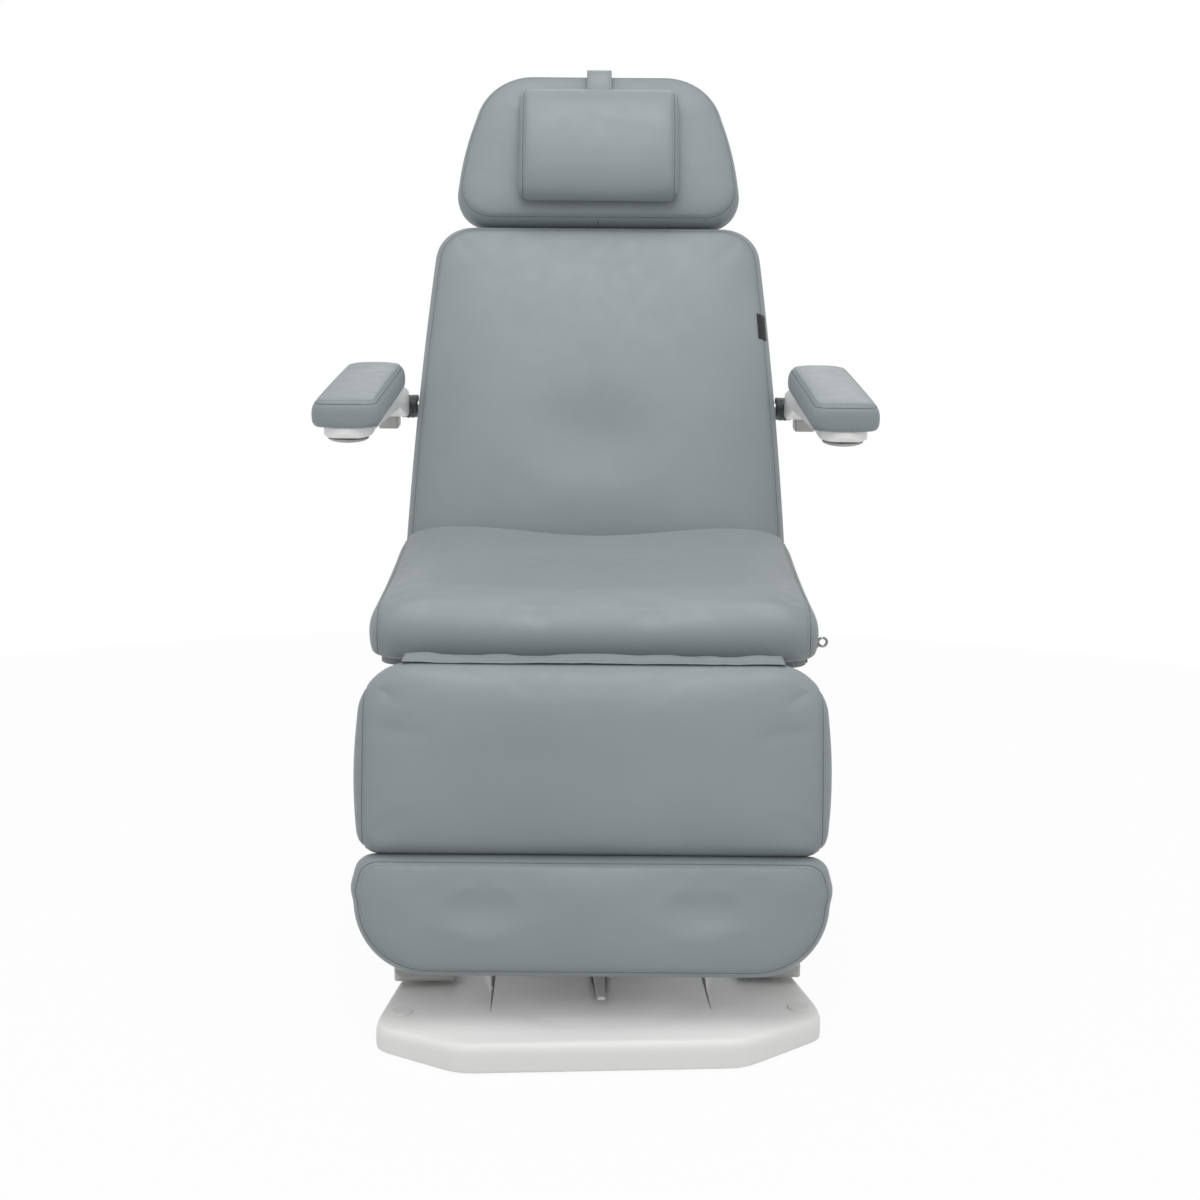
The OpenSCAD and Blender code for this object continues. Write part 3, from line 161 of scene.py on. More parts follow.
class Shade(Nodes):
    """A material's node tree, with short calls for what the finishes share."""

    MIX_DARK, MIX_LIGHT, MIX_RESULT = 6, 7, 2

    def __init__(self, name: str, roughness: float, metallic: float = 0.0) -> None:
        """Start a material with one Principled shader.

        Args:
            name: The material's name.
            roughness: The shader's plain roughness.
            metallic: The shader's metallic share.
        """
        self.material = bpy.data.materials.new(name)
        self.material.use_nodes = True
        super().__init__(self.material.node_tree)
        self.shader = self.tree.nodes["Principled BSDF"]
        self.set("Roughness", roughness)
        self.set("Metallic", metallic)
        self.place = self.node("TexCoord").outputs["Object"]

    def set(self, name: str, value: float | tuple[float, ...]) -> None:
        """Give one of the shader's inputs a plain value."""
        self.shader.inputs[name].default_value = value

    def drive(self, name: str, source: Socket) -> None:
        """Let a socket drive one of the shader's inputs."""
        self.link(source, self.shader.inputs[name])

    def stretched(self, scale: Triple) -> Socket:
        """Object coordinates, stretched along X, Y and Z."""
        return self.node("Mapping", self.place, Scale=scale).outputs["Vector"]

    def noise(self, scale: float, detail: float = 2.0, rough: float = 0.5,
              vector: Socket | None = None) -> Socket:
        """Cloudy noise: features in a metre, octaves, the share that each octave keeps, coordinates."""
        node = self.node("TexNoise", vector or self.place, Scale=scale, Detail=detail, Roughness=rough)
        return node.outputs["Fac"]

    def cells(self, scale: float) -> Socket:
        """Cell pattern for leather grain, with a number of cells in a metre."""
        return self.node("TexVoronoi", self.place, Scale=scale).outputs["Distance"]

    def seam(self) -> Socket:
        """How near a seam is, from the mesh's own attribute.

        Returns:
            The factor socket.
        """
        node = self.node("Attribute")
        node.attribute_name = "seam"
        return node.outputs["Fac"]

    def span(self, source: Socket, low: float, high: float, to_low: float, to_high: float) -> Socket:
        """A value, stretched from one range to another.

        Args:
            source: The value.
            low: Start of its range.
            high: End of its range.
            to_low: What the start becomes.
            to_high: What the end becomes.

        Returns:
            The value socket.
        """
        node = self.node("MapRange")
        for index, number in enumerate((low, high, to_low, to_high), 1):
            node.inputs[index].default_value = number
        self.link(source, node.inputs[0])
        return node.outputs[0]

    def colours(self, source: Socket, colour: Triple, dark: float, light: float) -> None:
        """Colour the shader between two tones of one colour.

        Args:
            source: 0 for the dark tone, 1 for the light one.
            colour: The colour, linear.
            dark: The dark tone's share of it.
            light: The light tone's share of it.
        """
        node = self.node("Mix")
        node.data_type = "RGBA"
        self.link(source, node.inputs[0])
        for index, share in ((self.MIX_DARK, dark), (self.MIX_LIGHT, light)):
            node.inputs[index].default_value = (*(min(1.0, c * share) for c in colour), 1)
        self.drive("Base Color", node.outputs[self.MIX_RESULT])

    def bump(self, *layers: tuple[Socket, float, float]) -> None:
        """Stack bumps on the shader.

        Args:
            layers: Height, strength and depth in metres of each, from the coarsest to the finest.
        """
        normal = None
        for height, strength, depth in layers:
            node = self.node("Bump", Strength=strength, Distance=depth)
            self.link(height, node.inputs["Height"])
            if normal:
                self.link(normal, node.inputs["Normal"])
            normal = node.outputs["Normal"]
        self.drive("Normal", normal)


@dataclass(frozen=True)
class Finish:
    """What every finish says: its material's name, its slot, its colour and its roughness."""

    name: str
    slot: str
    colour: Triple
    roughness: float

    METALLIC = 0.0

    def build(self) -> bpy.types.Material:
        """Make the material.

        Returns:
            The material.
        """
        shade = Shade(self.name, self.roughness, self.METALLIC)
        self.dress(shade)
        shade.material.diffuse_color = (*self.colour, 1)
        return shade.material

    def dress(self, s: Shade) -> None:
        """Give the shader what sets this finish apart."""
        raise NotImplementedError


@dataclass(frozen=True)
class CoatedCloth(Finish):
    """Soft coated upholstery cloth: pressed grain, slow stretch marks, puckers beside seams, a rubbed tone, and
    painted shade that darkens it along the seams.
    """

    roughness: float = 0.43
    grain: float = 760.0
    pucker: float = 0.0011

    def dress(self, s: Shade) -> None:
        """Give the shader what sets this finish apart.

        Args:
            s: The shader.
        """
        for name, value in (("Sheen Weight", 0.06), ("Sheen Roughness", 0.5), ("Specular IOR Level", 0.46)):
            s.set(name, value)
        pores, seam = s.cells(self.grain), s.seam()
        fine = s.math("MULTIPLY", s.span(pores, 0.0, 0.55, 0.0, 1.0), 0.25)
        blend = s.math("ADD", s.span(s.noise(5.0, 3.0, 0.55), 0.3, 0.7, 0.1, 0.55), fine)
        # Painted shade: the seam mask darkens the tone near the seams.
        s.colours(s.math("SUBTRACT", blend, s.math("MULTIPLY", seam, 0.35)), self.colour, 0.9, 1.09)
        rub = s.span(s.noise(38.0, 3.0), 0.3, 0.7, self.roughness - 0.05, self.roughness + 0.06)
        s.drive("Roughness", s.math("ADD", rub, s.math("MULTIPLY", seam, 0.08)))
        folds = s.math("MULTIPLY", s.noise(62.0, 2.0, 0.45, s.stretched((1.0, 1.0, 1.6))), seam)
        s.bump((folds, 1.0, self.pucker), (s.noise(14.0, 2.0, 0.4), 0.5, 0.0011),
               (s.noise(150.0), 0.35, 0.00022), (pores, 0.32, 0.00016),
               (s.noise(self.grain * 2.6), 0.25, 0.00006))


@dataclass(frozen=True)
class MouldedPlastic(Finish):
    """Injection-moulded plastic: slow flow marks in tone and gloss, and a faint spark-eroded skin."""

    def dress(self, s: Shade) -> None:
        """Give the shader what sets this finish apart.

        Args:
            s: The shader.
        """
        s.colours(s.span(s.noise(4.0, 3.0, 0.6), 0.3, 0.7, 0.0, 1.0), self.colour, 0.975, 1.015)
        marks = s.noise(26.0, 4.0)
        s.drive("Roughness", s.span(marks, 0.3, 0.7, self.roughness - 0.05, self.roughness + 0.05))
        s.bump((s.noise(9.0), 0.3, 0.0006), (s.noise(1500.0), 0.5, 0.00004))


@dataclass(frozen=True)
class PaintedSteel(Finish):
    """Steel under a baked powder coat: a slight orange peel, and a tone that varies a little."""

    def dress(self, s: Shade) -> None:
        """Give the shader what sets this finish apart.

        Args:
            s: The shader.
        """
        s.colours(s.noise(20.0, 4.0), self.colour, 0.9, 1.08)
        patches = s.noise(70.0, 3.0)
        s.drive("Roughness", s.span(patches, 0.3, 0.7, self.roughness - 0.06, self.roughness + 0.08))
        s.bump((s.noise(420.0), 0.5, 0.0001), (s.noise(2100.0, 1.0), 0.3, 0.00003))


@dataclass(frozen=True)
class DrawnMetal(Finish):
    """Bare or plated metal: fine draw marks in gloss and height, and a faint haze."""

    lines: Triple
    depth: float = 0.00003

    METALLIC = 1.0

    def dress(self, s: Shade) -> None:
        """Give the shader what sets this finish apart.

        Args:
            s: The shader.
        """
        marks = s.noise(1.0, 3.0, 0.6, s.stretched(self.lines))
        s.colours(s.noise(30.0, 4.0), self.colour, 0.93, 1.04)
        s.drive("Roughness", s.span(marks, 0.25, 0.75, self.roughness * 0.75, self.roughness * 1.3))
        s.bump((marks, 0.5, self.depth))


@dataclass(frozen=True)
class Rubber(Finish):
    """Matt moulded rubber."""

    def dress(self, s: Shade) -> None:
        """Make the shader dusty and slightly pitted."""
        s.colours(s.noise(45.0, 5.0), self.colour, 0.8, 1.35)
        s.bump((s.noise(700.0, 3.0), 0.5, 0.0001))


@dataclass(frozen=True)
class TwistedThread(Finish):
    """Sewing thread: fine twisted strands, slanted, in tone and height."""

    def dress(self, s: Shade) -> None:
        """Give the shader what sets this finish apart.

        Args:
            s: The shader.
        """
        strands = s.noise(1.0, 1.0, 0.5, s.stretched((2600.0, 2600.0, 900.0)))
        s.set("Sheen Weight", 0.2)
        s.colours(strands, self.colour, 0.7, 1.25)
        s.bump((strands, 0.6, 0.0001))


CLOTH = CoatedCloth("upholstery_cloth", "upholstery", (0.244, 0.276, 0.292))
FLAP_CLOTH = CoatedCloth("flap_cloth", "upholstery", (0.246, 0.275, 0.294), roughness=0.5, pucker=0.0016)
# Painted shade: the cloth at half its tone, for the thin dark lines along the seams.
SEAM_SHADE = CoatedCloth("seam_painted_shade", "upholstery", (0.123, 0.139, 0.148), roughness=0.6)
BOARD_WRAP = CoatedCloth("board_wrap", "plywood", (0.193, 0.217, 0.230), roughness=0.52)
SLEEVE_CLOTH = CoatedCloth("sleeve_cloth", "dark_upholstery", (0.043, 0.055, 0.057), roughness=0.4, grain=620.0)
TAG_CLOTH = CoatedCloth("tag_cloth", "dark_upholstery", (0.012, 0.012, 0.013), roughness=0.6, grain=1500.0)
THREAD = TwistedThread("cover_thread", "upholstery", (0.235, 0.265, 0.285), 0.62)
WHITE = MouldedPlastic("white_moulding", "white_plastic", (0.78, 0.782, 0.772), 0.5)
WHITE_TRIM = MouldedPlastic("white_cap_moulding", "white_plastic", (0.70, 0.705, 0.695), 0.42)
# Painted light: the white plastic made lighter on the arm shells, for the light that they catch.
LIT_SHELL_WHITE = MouldedPlastic("arm_shell_lit_moulding", "white_plastic", (0.90, 0.905, 0.895), 0.33)
# Painted shade: the dark grey of the slivers laid in the base fairing's gaps.
SHADE_GREY = MouldedPlastic("shaded_moulding", "white_plastic", (0.20, 0.20, 0.195), 0.7)
GREY = MouldedPlastic("grey_moulding", "grey_plastic", (0.47, 0.465, 0.45), 0.45)
PEDAL_GREY = MouldedPlastic("pedal_moulding", "pedal_plastic", (0.46, 0.46, 0.45), 0.3)
# Painted light: the pedal plastic made lighter on the lever, to offset the shade that it sits in.
LIT_LEVER_GREY = MouldedPlastic("lever_lit_moulding", "pedal_plastic", (0.62, 0.62, 0.61), 0.4)
BRACKET_GREY = MouldedPlastic("bracket_moulding", "bracket_plastic", (0.52, 0.515, 0.50), 0.42)
BLACK = MouldedPlastic("black_moulding", "black_plastic", (0.022, 0.022, 0.023), 0.48)
FRAME_STEEL = PaintedSteel("frame_powder_coat", "frame_steel", (0.075, 0.08, 0.085), 0.46)
BEARING = DrawnMetal("ground_steel", "bearing_steel", (0.56, 0.56, 0.57), 0.3, (60.0, 900.0, 900.0))
COLUMN = DrawnMetal("anodised_profile", "column_aluminium", (0.78, 0.79, 0.80), 0.34, (700.0, 700.0, 9.0))
BRIGHT = DrawnMetal("bright_plating", "bright_steel", (0.80, 0.80, 0.81), 0.1, (240.0,) * 3, 0.00001)
RING_STEEL = DrawnMetal("ring_plating", "bright_steel", (0.34, 0.33, 0.31), 0.16, (240.0,) * 3, 0.00001)
FOOT_RUBBER = Rubber("foot_rubber", "feet_rubber", (0.03, 0.03, 0.031), 0.82)


@cache
def material(finish: Finish) -> bpy.types.Material:
    """The material of a finish, built the first time that it is asked for."""
    return finish.build()


# The frames of the bodies at rest, in the frame that the parts share.
SWIVEL_Y = -0.161
BACK_HINGE = Vector((0.0, SWIVEL_Y + 0.392, 0.470))
LEG_HINGE = Vector((0.0, SWIVEL_Y - 0.188, 0.482))
BACK_ANGLE = math.radians(65)
LEG_ANGLE = math.radians(76)
BASE_TURN = math.radians(2.5)
ARM_TURN = math.radians(1.7)
ARM_UP = 0.310
ARM_AXIS = BACK_HINGE + Vector((0.0, ARM_UP * math.cos(BACK_ANGLE), ARM_UP * math.sin(BACK_ANGLE)))

CHAIR = Matrix.Translation((0.0, SWIVEL_Y, 0.0))
BASE = CHAIR @ Matrix.Rotation(BASE_TURN, 4, "Z")
BACK = Matrix.Translation(BACK_HINGE) @ Matrix.Rotation(BACK_ANGLE, 4, "X")
LEG = Matrix.Translation(LEG_HINGE) @ Matrix.Rotation(LEG_ANGLE, 4, "X") @ Matrix.Rotation(math.pi, 4, "Z")
ARM = Matrix.Translation(ARM_AXIS) @ Matrix.Rotation(ARM_TURN, 4, "X")
MIRROR = Matrix.Diagonal((-1.0, 1.0, 1.0, 1.0))
DOWN = Vector((0.0, 0.0, -1.0))


def heading(angle: float) -> Vector:
    """The unit vector in a direction of the plane."""
    return Vector((math.cos(angle), math.sin(angle)))


def hollow(x: float, y: float, cx: float, cy: float, rx: float, ry: float, deep: float) -> float:
    """Depth at a point of a soft round hollow, from its middle, its reach each way and its full depth."""
    return deep * math.exp(-(((x - cx) / rx) ** 2) - ((y - cy) / ry) ** 2)


def new_piece(name: str, bm: BMesh, finish: Finish, body: str) -> Piece:
    """Turn a bmesh into a smooth piece that rides on a body.

    Args:
        name: The piece's name.
        bm: Its mesh in the row frame, freed here.
        finish: Its finish.
        body: The body that it rides on.

    Returns:
        The object.
    """
    mesh = bpy.data.meshes.new(name)
    bm.normal_update()
    bm.to_mesh(mesh)
    bm.free()
    for polygon in mesh.polygons:
        polygon.use_smooth = True
    mesh.materials.append(material(finish))
    piece = bpy.data.objects.new(name, mesh)
    bpy.context.scene.collection.objects.link(piece)
    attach(piece, body)
    log.info("%s: %d faces, rides on %s", name, len(mesh.polygons), body)
    return piece


def apply_modifiers(piece: Piece) -> None:
    """Bake the piece's modifiers into its mesh.

    Args:
        piece: The piece.
    """
    bpy.context.view_layer.update()
    graph = bpy.context.evaluated_depsgraph_get()
    baked = piece.evaluated_get(graph)
    mesh = bpy.data.meshes.new_from_object(baked, preserve_all_data_layers=True, depsgraph=graph)
    old = piece.data
    piece.modifiers.clear()
    piece.data = mesh
    bpy.data.meshes.remove(old)
    mesh.name = piece.name


def subdivide(piece: Piece) -> None:
    """Subdivide a piece smoothly, once, and keep the result.

    Args:
        piece: The piece.
    """
    modifier = piece.modifiers.new("Subdivision", "SUBSURF")
    modifier.levels = modifier.render_levels = 1
    apply_modifiers(piece)


def surface(piece: Piece) -> BVHTree:
    """The piece's surface as it stands, to find places on it."""
    return BVHTree.FromObject(piece, bpy.context.evaluated_depsgraph_get())


def thicken(bm: BMesh, thickness: float) -> None:
    """Give a sheet its thickness, with its normals outwards."""
    bmesh.ops.solidify(bm, geom=bm.faces[:], thickness=thickness)
    bmesh.ops.recalc_face_normals(bm, faces=bm.faces[:])


def extrude(bm: BMesh, edges: list[BMEdge]) -> tuple[list[BMEdge], list[BMVert]]:
    """Draw a row of faces out of a row of edges, without moving it yet.

    Args:
        bm: The mesh.
        edges: The row of edges.

    Returns:
        The new row's edges and points.
    """
    made = bmesh.ops.extrude_edge_only(bm, edges=edges)["geom"]
    return [g for g in made if isinstance(g, BMEdge)], [g for g in made if isinstance(g, BMVert)]


def tube_mesh(points: list[Vector], radius: float, closed: bool) -> bpy.types.Mesh:
    """A round tube along a line.

    Args:
        points: The line's points.
        radius: The tube's radius.
        closed: Whether the line is a loop.

    Returns:
        The tube's mesh.
    """
    curve = bpy.data.curves.new("tube", "CURVE")
    curve.dimensions = "3D"
    curve.bevel_depth = radius
    curve.bevel_resolution = 3
    curve.use_fill_caps = not closed
    spline = curve.splines.new("POLY")
    spline.points.add(len(points) - 1)
    for point, place in zip(spline.points, points):
        point.co = (*place, 1.0)
    spline.use_cyclic_u = closed
    carrier = bpy.data.objects.new("tube", curve)
    bpy.context.scene.collection.objects.link(carrier)
    bpy.context.view_layer.update()
    mesh = bpy.data.meshes.new_from_object(carrier.evaluated_get(bpy.context.evaluated_depsgraph_get()))
    bpy.data.objects.remove(carrier)
    bpy.data.curves.remove(curve)
    return mesh


def evenly(points: list[Vector], pitch: float, closed: bool = False) -> list[Vector]:
    """Points at an even pitch along a line.

    Args:
        points: The line.
        pitch: The pitch wanted.
        closed: Whether the line is a loop.

    Returns:
        The points.
    """
    line = points + [points[0]] if closed else points
    lengths = [0.0]
    for a, b in zip(line, line[1:]):
        lengths.append(lengths[-1] + (b - a).length)
    count = max(2, round(lengths[-1] / pitch))
    result, at = [], 0
    for k in range(count if closed else count + 1):
        want = lengths[-1] * k / count
        while at < len(line) - 2 and lengths[at + 1] < want:
            at += 1
        part = (want - lengths[at]) / max(1e-9, lengths[at + 1] - lengths[at])
        result.append(line[at].lerp(line[at + 1], part))
    return result


@dataclass
class Stitching:
    """A row of single stitches on a surface."""

    pitch: float = 0.005
    length: float = 0.0036
    radius: float = 0.00045
    sunk: float = 0.35

    def build(self, name: str, line: list[Vector], on: Piece, body: str, closed: bool) -> Piece:
        """Sew the row.

        Args:
            name: The row's name.
            line: The line that the row follows, near the surface.
            on: The piece that is sewn.
            body: The body that the row rides on.
            closed: Whether the row is a loop.

        Returns:
            The row's object.
        """
        tree = surface(on)
        places = evenly(line, self.pitch, closed)
        size = Matrix.Diagonal((self.length / 2, self.radius, self.radius, 1.0))
        bm = bmesh.new()
        for k, place in enumerate(places):
            ahead = places[(k + 1) % len(places)] if closed or k < len(places) - 1 else place
            behind = places[k - 1] if closed or k else place
            spot, up, _, _ = tree.find_nearest(place)
            if spot is None:
                continue
            across = up.cross((ahead - behind).normalized()).normalized()
            turn = Matrix((across.cross(up).normalized(), across, up)).transposed().to_4x4()
            at = Matrix.Translation(spot + up * self.radius * self.sunk)
            bmesh.ops.create_icosphere(bm, subdivisions=1, radius=1.0, matrix=at @ turn @ size)
        return new_piece(name, bm, THREAD, body)


class Seam(Enum):
    """Where a cushion's cover is sewn: round the rim of its face, or along its two side panels."""

    RIM = "rim"
    SIDES = "sides"


@dataclass
class Cushion:
    """A foam cushion in a sewn cover. It lies in a local frame: X across, Y along, Z out of its face.

    It runs from y0 to y1. The sizes with a 0 are those of its y0 end: its width, and its corners' radius.
    """

    name: str
    node: str
    body: str
    place: Matrix
    y0: float
    y1: float
    w0: float
    w1: float
    r0: float
    r1: float
    thick: float
    crown: float
    edge_r: float
    base_z: float = 0.0
    bow: float = 0.0
    lean: float = 0.0
    seam: Seam = Seam.RIM
    relief: Relief = field(default=lambda x, y: 0.0)
    columns: int = 44
    rows: int = 30
    swell: float = 0.006
    pressure: float = 4.0
    crest: float = 2.4
    roll: bool = False
    round_up: float = 0.22
    side_bulge: float = 0.0015
    low_in: float = 0.42
    seam_in: float = 0.013
    fill: float = 0.8
    mirror: bool = False
    end_seam: float = 0.0

    RIM_STEPS = (0.0022, 0.0045, 0.009, 0.016, 0.028)
    RIM_BAND = 0.102
    WALL_CUTS = (0.06, 0.16, 0.34, 0.54, 0.72, 0.84, 0.93)
    SHOULDER = 0.86
    SHOULDER_REACH = 0.34
    PUCKER_REACH = 0.014
    GROOVE_DEEP = 0.0016
    GROOVE_WIDE = 0.0026
    STITCH_GAP = 0.0042
    CREASE_R = 0.0008
    PANEL_SWEEP = (-16, 196)
    PANEL_STEPS = 180
    CLOTH_FRAMES = 20
    CLOTH_STIFFNESS = {"tension": 60, "compression": 60, "shear": 30, "bending": 2.5}

    def __post_init__(self) -> None:
        """Work out the cushion's middle and half sizes."""
        self.mid = Vector((0.0, (self.y0 + self.y1) / 2))
        self.half = Vector((max(self.w0, self.w1) / 2 + self.bow, (self.y1 - self.y0) / 2))
        self.edge_h = self.thick - self.crown
        self.panel_x = min(self.w0, self.w1) / 2 - self.seam_in
        self.rim_step = self.RIM_BAND / len(self.RIM_STEPS)
        self.seam_lines: list[list[Vector]] = []
        self.stitch_lines: list[list[Vector]] = []

    def outline(self, qx: float, qy: float) -> Vector:
        """A point of the outline.

        Args:
            qx: Place on a square's rim across, from -1 to 1.
            qy: Place on a square's rim along, from -1 to 1.

        Returns:
            The point, with the corners rounded and the sides bowed.
        """
        up, eighth = self.mid.y + qy * self.half.y, math.pi / 4
        side, end = math.copysign(1, qx), math.copysign(1, qy)
        low = Vector((self.w0 / 2 - self.r0, self.y0 + self.r0))
        high = Vector((self.w1 / 2 - self.r1, self.y1 - self.r1))
        if abs(qx) >= abs(qy):
            apart = high - low
            lean = math.asin((self.r0 - self.r1) / apart.length) - math.atan2(apart.x, apart.y)
            out = heading(lean)
            start, stop = low + out * self.r0, high + out * self.r1
            if up < start.y:
                turn = (eighth + lean) * (up - self.y0) / (start.y - self.y0)
                place = low + heading(turn - eighth) * self.r0
            elif up > stop.y:
                turn = (eighth - lean) * (self.y1 - up) / (self.y1 - stop.y)
                place = high + heading(eighth - turn) * self.r1
            else:
                run = (up - start.y) / (stop.y - start.y)
                place = start.lerp(stop, run) + out * self.bow * 4 * run * (1 - run)
            return Vector((side * place.x, place.y))
        r, centre, end_w = (self.r0, low, self.w0 / 2) if qy < 0 else (self.r1, high, self.w1 / 2)
        depth = end_w * (1 - abs(qx))
        if depth < r:
            angle = eighth * (1 + depth / r)
            return Vector((side * (centre.x + r * math.cos(angle)), centre.y + end * r * math.sin(angle)))
        return Vector((qx * end_w, self.mid.y + end * self.half.y))

    def drawn_in(self, p: Vector, inset: float) -> Vector:
        """A point of the outline, drawn in by a length."""
        return Vector([m + (c - m) * (1 - inset / h) for c, m, h in zip(p, self.mid, self.half)])

    def side_inset(self, share: float) -> float:
        """How far the side is drawn in.

        Args:
            share: The place, as a share of the side's height.

        Returns:
            The length: positive inwards.
        """
        low = self.low_in * self.edge_r * max(0.0, 1 - share / 0.16) ** 2
        top = self.round_up * self.edge_r * max(0.0, (share - 0.48) / 0.52) ** 2.6
        return low + top - self.side_bulge * math.sin(math.pi * min(1.0, share)) ** 2

    def off_middle(self, y: float) -> float:
        """How far along a place is off the middle, from 0 to 1, raised to the crest's power."""
        return min(1.0, abs(y - self.mid.y) / self.half.y) ** self.crest

    def top_height(self, x: float, y: float, inset: float) -> float:
        """Height of the face.

        Args:
            x: Place across.
            y: Place along.
            inset: Distance from the face's rim.

        Returns:
            The height over the cushion's underside.
        """
        shoulder = 1 - math.exp(-inset / (self.edge_r * self.SHOULDER_REACH))
        wall = self.SHOULDER + (1 - self.SHOULDER) * shoulder
        if self.roll:
            return self.wall_height(y) * wall
        u = min(1.0, abs(x - self.mid.x) / self.half.x)
        dome = self.crown * (1 - u ** self.crest) * (1 - self.off_middle(y))
        return self.edge_h * wall + dome * (0.35 + 0.65 * shoulder)

    def wall_height(self, y: float) -> float:
        """Height of the side wall: level, or on a roll as high as the roll."""
        return self.edge_h + (self.crown * (1 - self.off_middle(y)) ** 0.6 if self.roll else 0.0)

    def cuts(self, count: int) -> list[float]:
        """Where a cube is sliced, close together near its edges.

        Args:
            count: Slices between the rim's steps.

        Returns:
            The places, from -1 to 1.
        """
        rim = [1 - self.rim_step * (k + 1) for k in range(len(self.RIM_STEPS))]
        places = [rim[-1] * (2 * k / count - 1) for k in range(1, count)]
        return sorted(places + rim + [-r for r in rim])

    def square_place(self, s: float, t: float) -> tuple[Vector, float]:
        """Where a point of the cube's face lies.

        Args:
            s: Place across, from -1 to 1.
            t: Place along, from -1 to 1.

        Returns:
            The place on the face, and its distance from the rim.
        """
        ring, last = max(abs(s), abs(t)), self.RIM_STEPS[-1]
        if ring < 1e-6:
            return self.mid.copy(), last * 4
        rim = self.outline(s / ring, t / ring)
        seam_in, inner = self.side_inset(1.0), 1 - self.RIM_BAND
        if ring >= inner:
            at = (1 - ring) / self.rim_step
            k = min(len(self.RIM_STEPS) - 1, int(at))
            low = self.RIM_STEPS[k - 1] if k else 0.0
            inset = low + (self.RIM_STEPS[k] - low) * min(1.0, at - k)
            return self.drawn_in(rim, seam_in + inset), inset
        share = ring / inner
        place = self.mid + (self.drawn_in(rim, seam_in + last) - self.mid) * share
        return place, last + (1 - share) * min(self.half.x, self.half.y)

    def cage(self) -> BMesh:
        """The cover as cut: a sliced cube, bent to the outline and the profile.

        Returns:
            The cover in the local frame, with each point's place on the cube.
        """
        bm = bmesh.new()
        marks = [bm.verts.layers.float.new(n) for n in ("place_s", "place_t", "place_h", "seam")]
        bmesh.ops.create_cube(bm, size=2.0)
        slices = [(Vector((1, 0, 0)), c) for c in self.cuts(self.columns)]
        slices += [(Vector((0, 1, 0)), c) for c in self.cuts(self.rows)]
        slices += [(Vector((0, 0, 1)), 2 * h - 1) for h in self.WALL_CUTS]
        for normal, where in slices:
            bmesh.ops.bisect_plane(bm, geom=bm.verts[:] + bm.edges[:] + bm.faces[:], dist=1e-6,
                                   plane_co=normal * where, plane_no=normal)
        for v in bm.verts:
            s, t, h = v.co.x, v.co.y, (v.co.z + 1) / 2
            v[marks[0]], v[marks[1]], v[marks[2]] = s, t, h
            v.co, v[marks[3]] = self.bent(s, t, h)
        bm.normal_update()
        return bm

    def bent(self, s: float, t: float, h: float) -> tuple[Vector, float]:
        """Bend one point of the cube.

        Args:
            s: Place across, from -1 to 1.
            t: Place along, from -1 to 1.
            h: Height, from 0 to 1.

        Returns:
            The point in the local frame, and how near it is to a seam, from 0 to 1.
        """
        if h > 1 - 1e-5:
            flat, near = self.square_place(s, t)
            z = self.top_height(flat.x, flat.y, near) - self.relief(flat.x, flat.y)
        elif h < 1e-5:
            flat, _ = self.square_place(s, t)
            flat = self.mid + (flat - self.mid) * (1 - 0.1 * self.edge_r / self.half.y)
            z, near = 0.0, 0.05
        else:
            ring = max(abs(s), abs(t))
            flat = self.drawn_in(self.outline(s / ring, t / ring), self.side_inset(h))
            z = h * self.SHOULDER * (self.wall_height(flat.y) - self.relief(flat.x, flat.y))
            near = (1 - h) * self.edge_h
        if self.seam is Seam.SIDES:
            near = abs(abs(flat.x) - self.panel_x) if h > 0.05 else 0.05
        lean = self.lean * z * (flat.y - self.y0) / (self.y1 - self.y0)
        # The seam factor puckers the cover and also darkens it near the seams as painted shade.
        return Vector((flat.x, flat.y + lean, z)), math.exp(-near / self.PUCKER_REACH)

    def rim_rows(self, bm: BMesh) -> None:
        """Note the rim's seam line and its topstitch line, in the row frame.

        Args:
            bm: The cover as cut.
        """
        s_of, t_of, h_of = (bm.verts.layers.float[n] for n in ("place_s", "place_t", "place_h"))
        for ring, target in ((1.0, self.seam_lines), (1 - 2 * self.rim_step, self.stitch_lines)):
            found = [v for v in bm.verts
                     if v[h_of] > 0.999 and abs(max(abs(v[s_of]), abs(v[t_of])) - ring) < 1e-4]
            found.sort(key=lambda v: math.atan2(v[t_of], v[s_of]))
            target.append([self.world() @ v.co for v in found])

    def panel_rows(self, piece: Piece) -> None:
        """Note the side panels' seam lines and topstitch lines, where planes across X cut the filled cover.

        Args:
            piece: The filled cover.
        """
        tree, world = surface(piece), self.world()
        steps, (first, last) = self.PANEL_STEPS, self.PANEL_SWEEP
        angles = [math.radians(first + (last - first) * k / steps) for k in range(steps + 1)]
        rays = [world.to_3x3() @ Vector((0.0, *heading(angle))) for angle in angles]
        for side in (-1, 1):
            for gap, target in ((0.0, self.seam_lines), (self.STITCH_GAP, self.stitch_lines)):
                start = world @ Vector((side * (self.panel_x - gap), self.mid.y, self.edge_h * 0.45))
                hits = [tree.ray_cast(start, ray)[0] for ray in rays]
                target.append([hit for hit in hits if hit is not None])

    def world(self) -> Matrix:
        """The cushion's frame in the row frame, mirrored where the piece is the left one of a pair."""
        frame_of = self.place @ Matrix.Translation((0.0, 0.0, self.base_z))
        return MIRROR @ frame_of if self.mirror else frame_of

    def groove(self, bm: BMesh) -> None:
        """Press the cover in along its seams.

        Args:
            bm: The cover.
        """
        seam, h_of = bm.verts.layers.float["seam"], bm.verts.layers.float["place_h"]
        for v in bm.verts:
            if v[h_of] > 0.05:
                near = -math.log(max(1e-6, v[seam])) * self.PUCKER_REACH
                v.co -= v.normal * self.GROOVE_DEEP * math.exp(-((near / self.GROOVE_WIDE) ** 2))

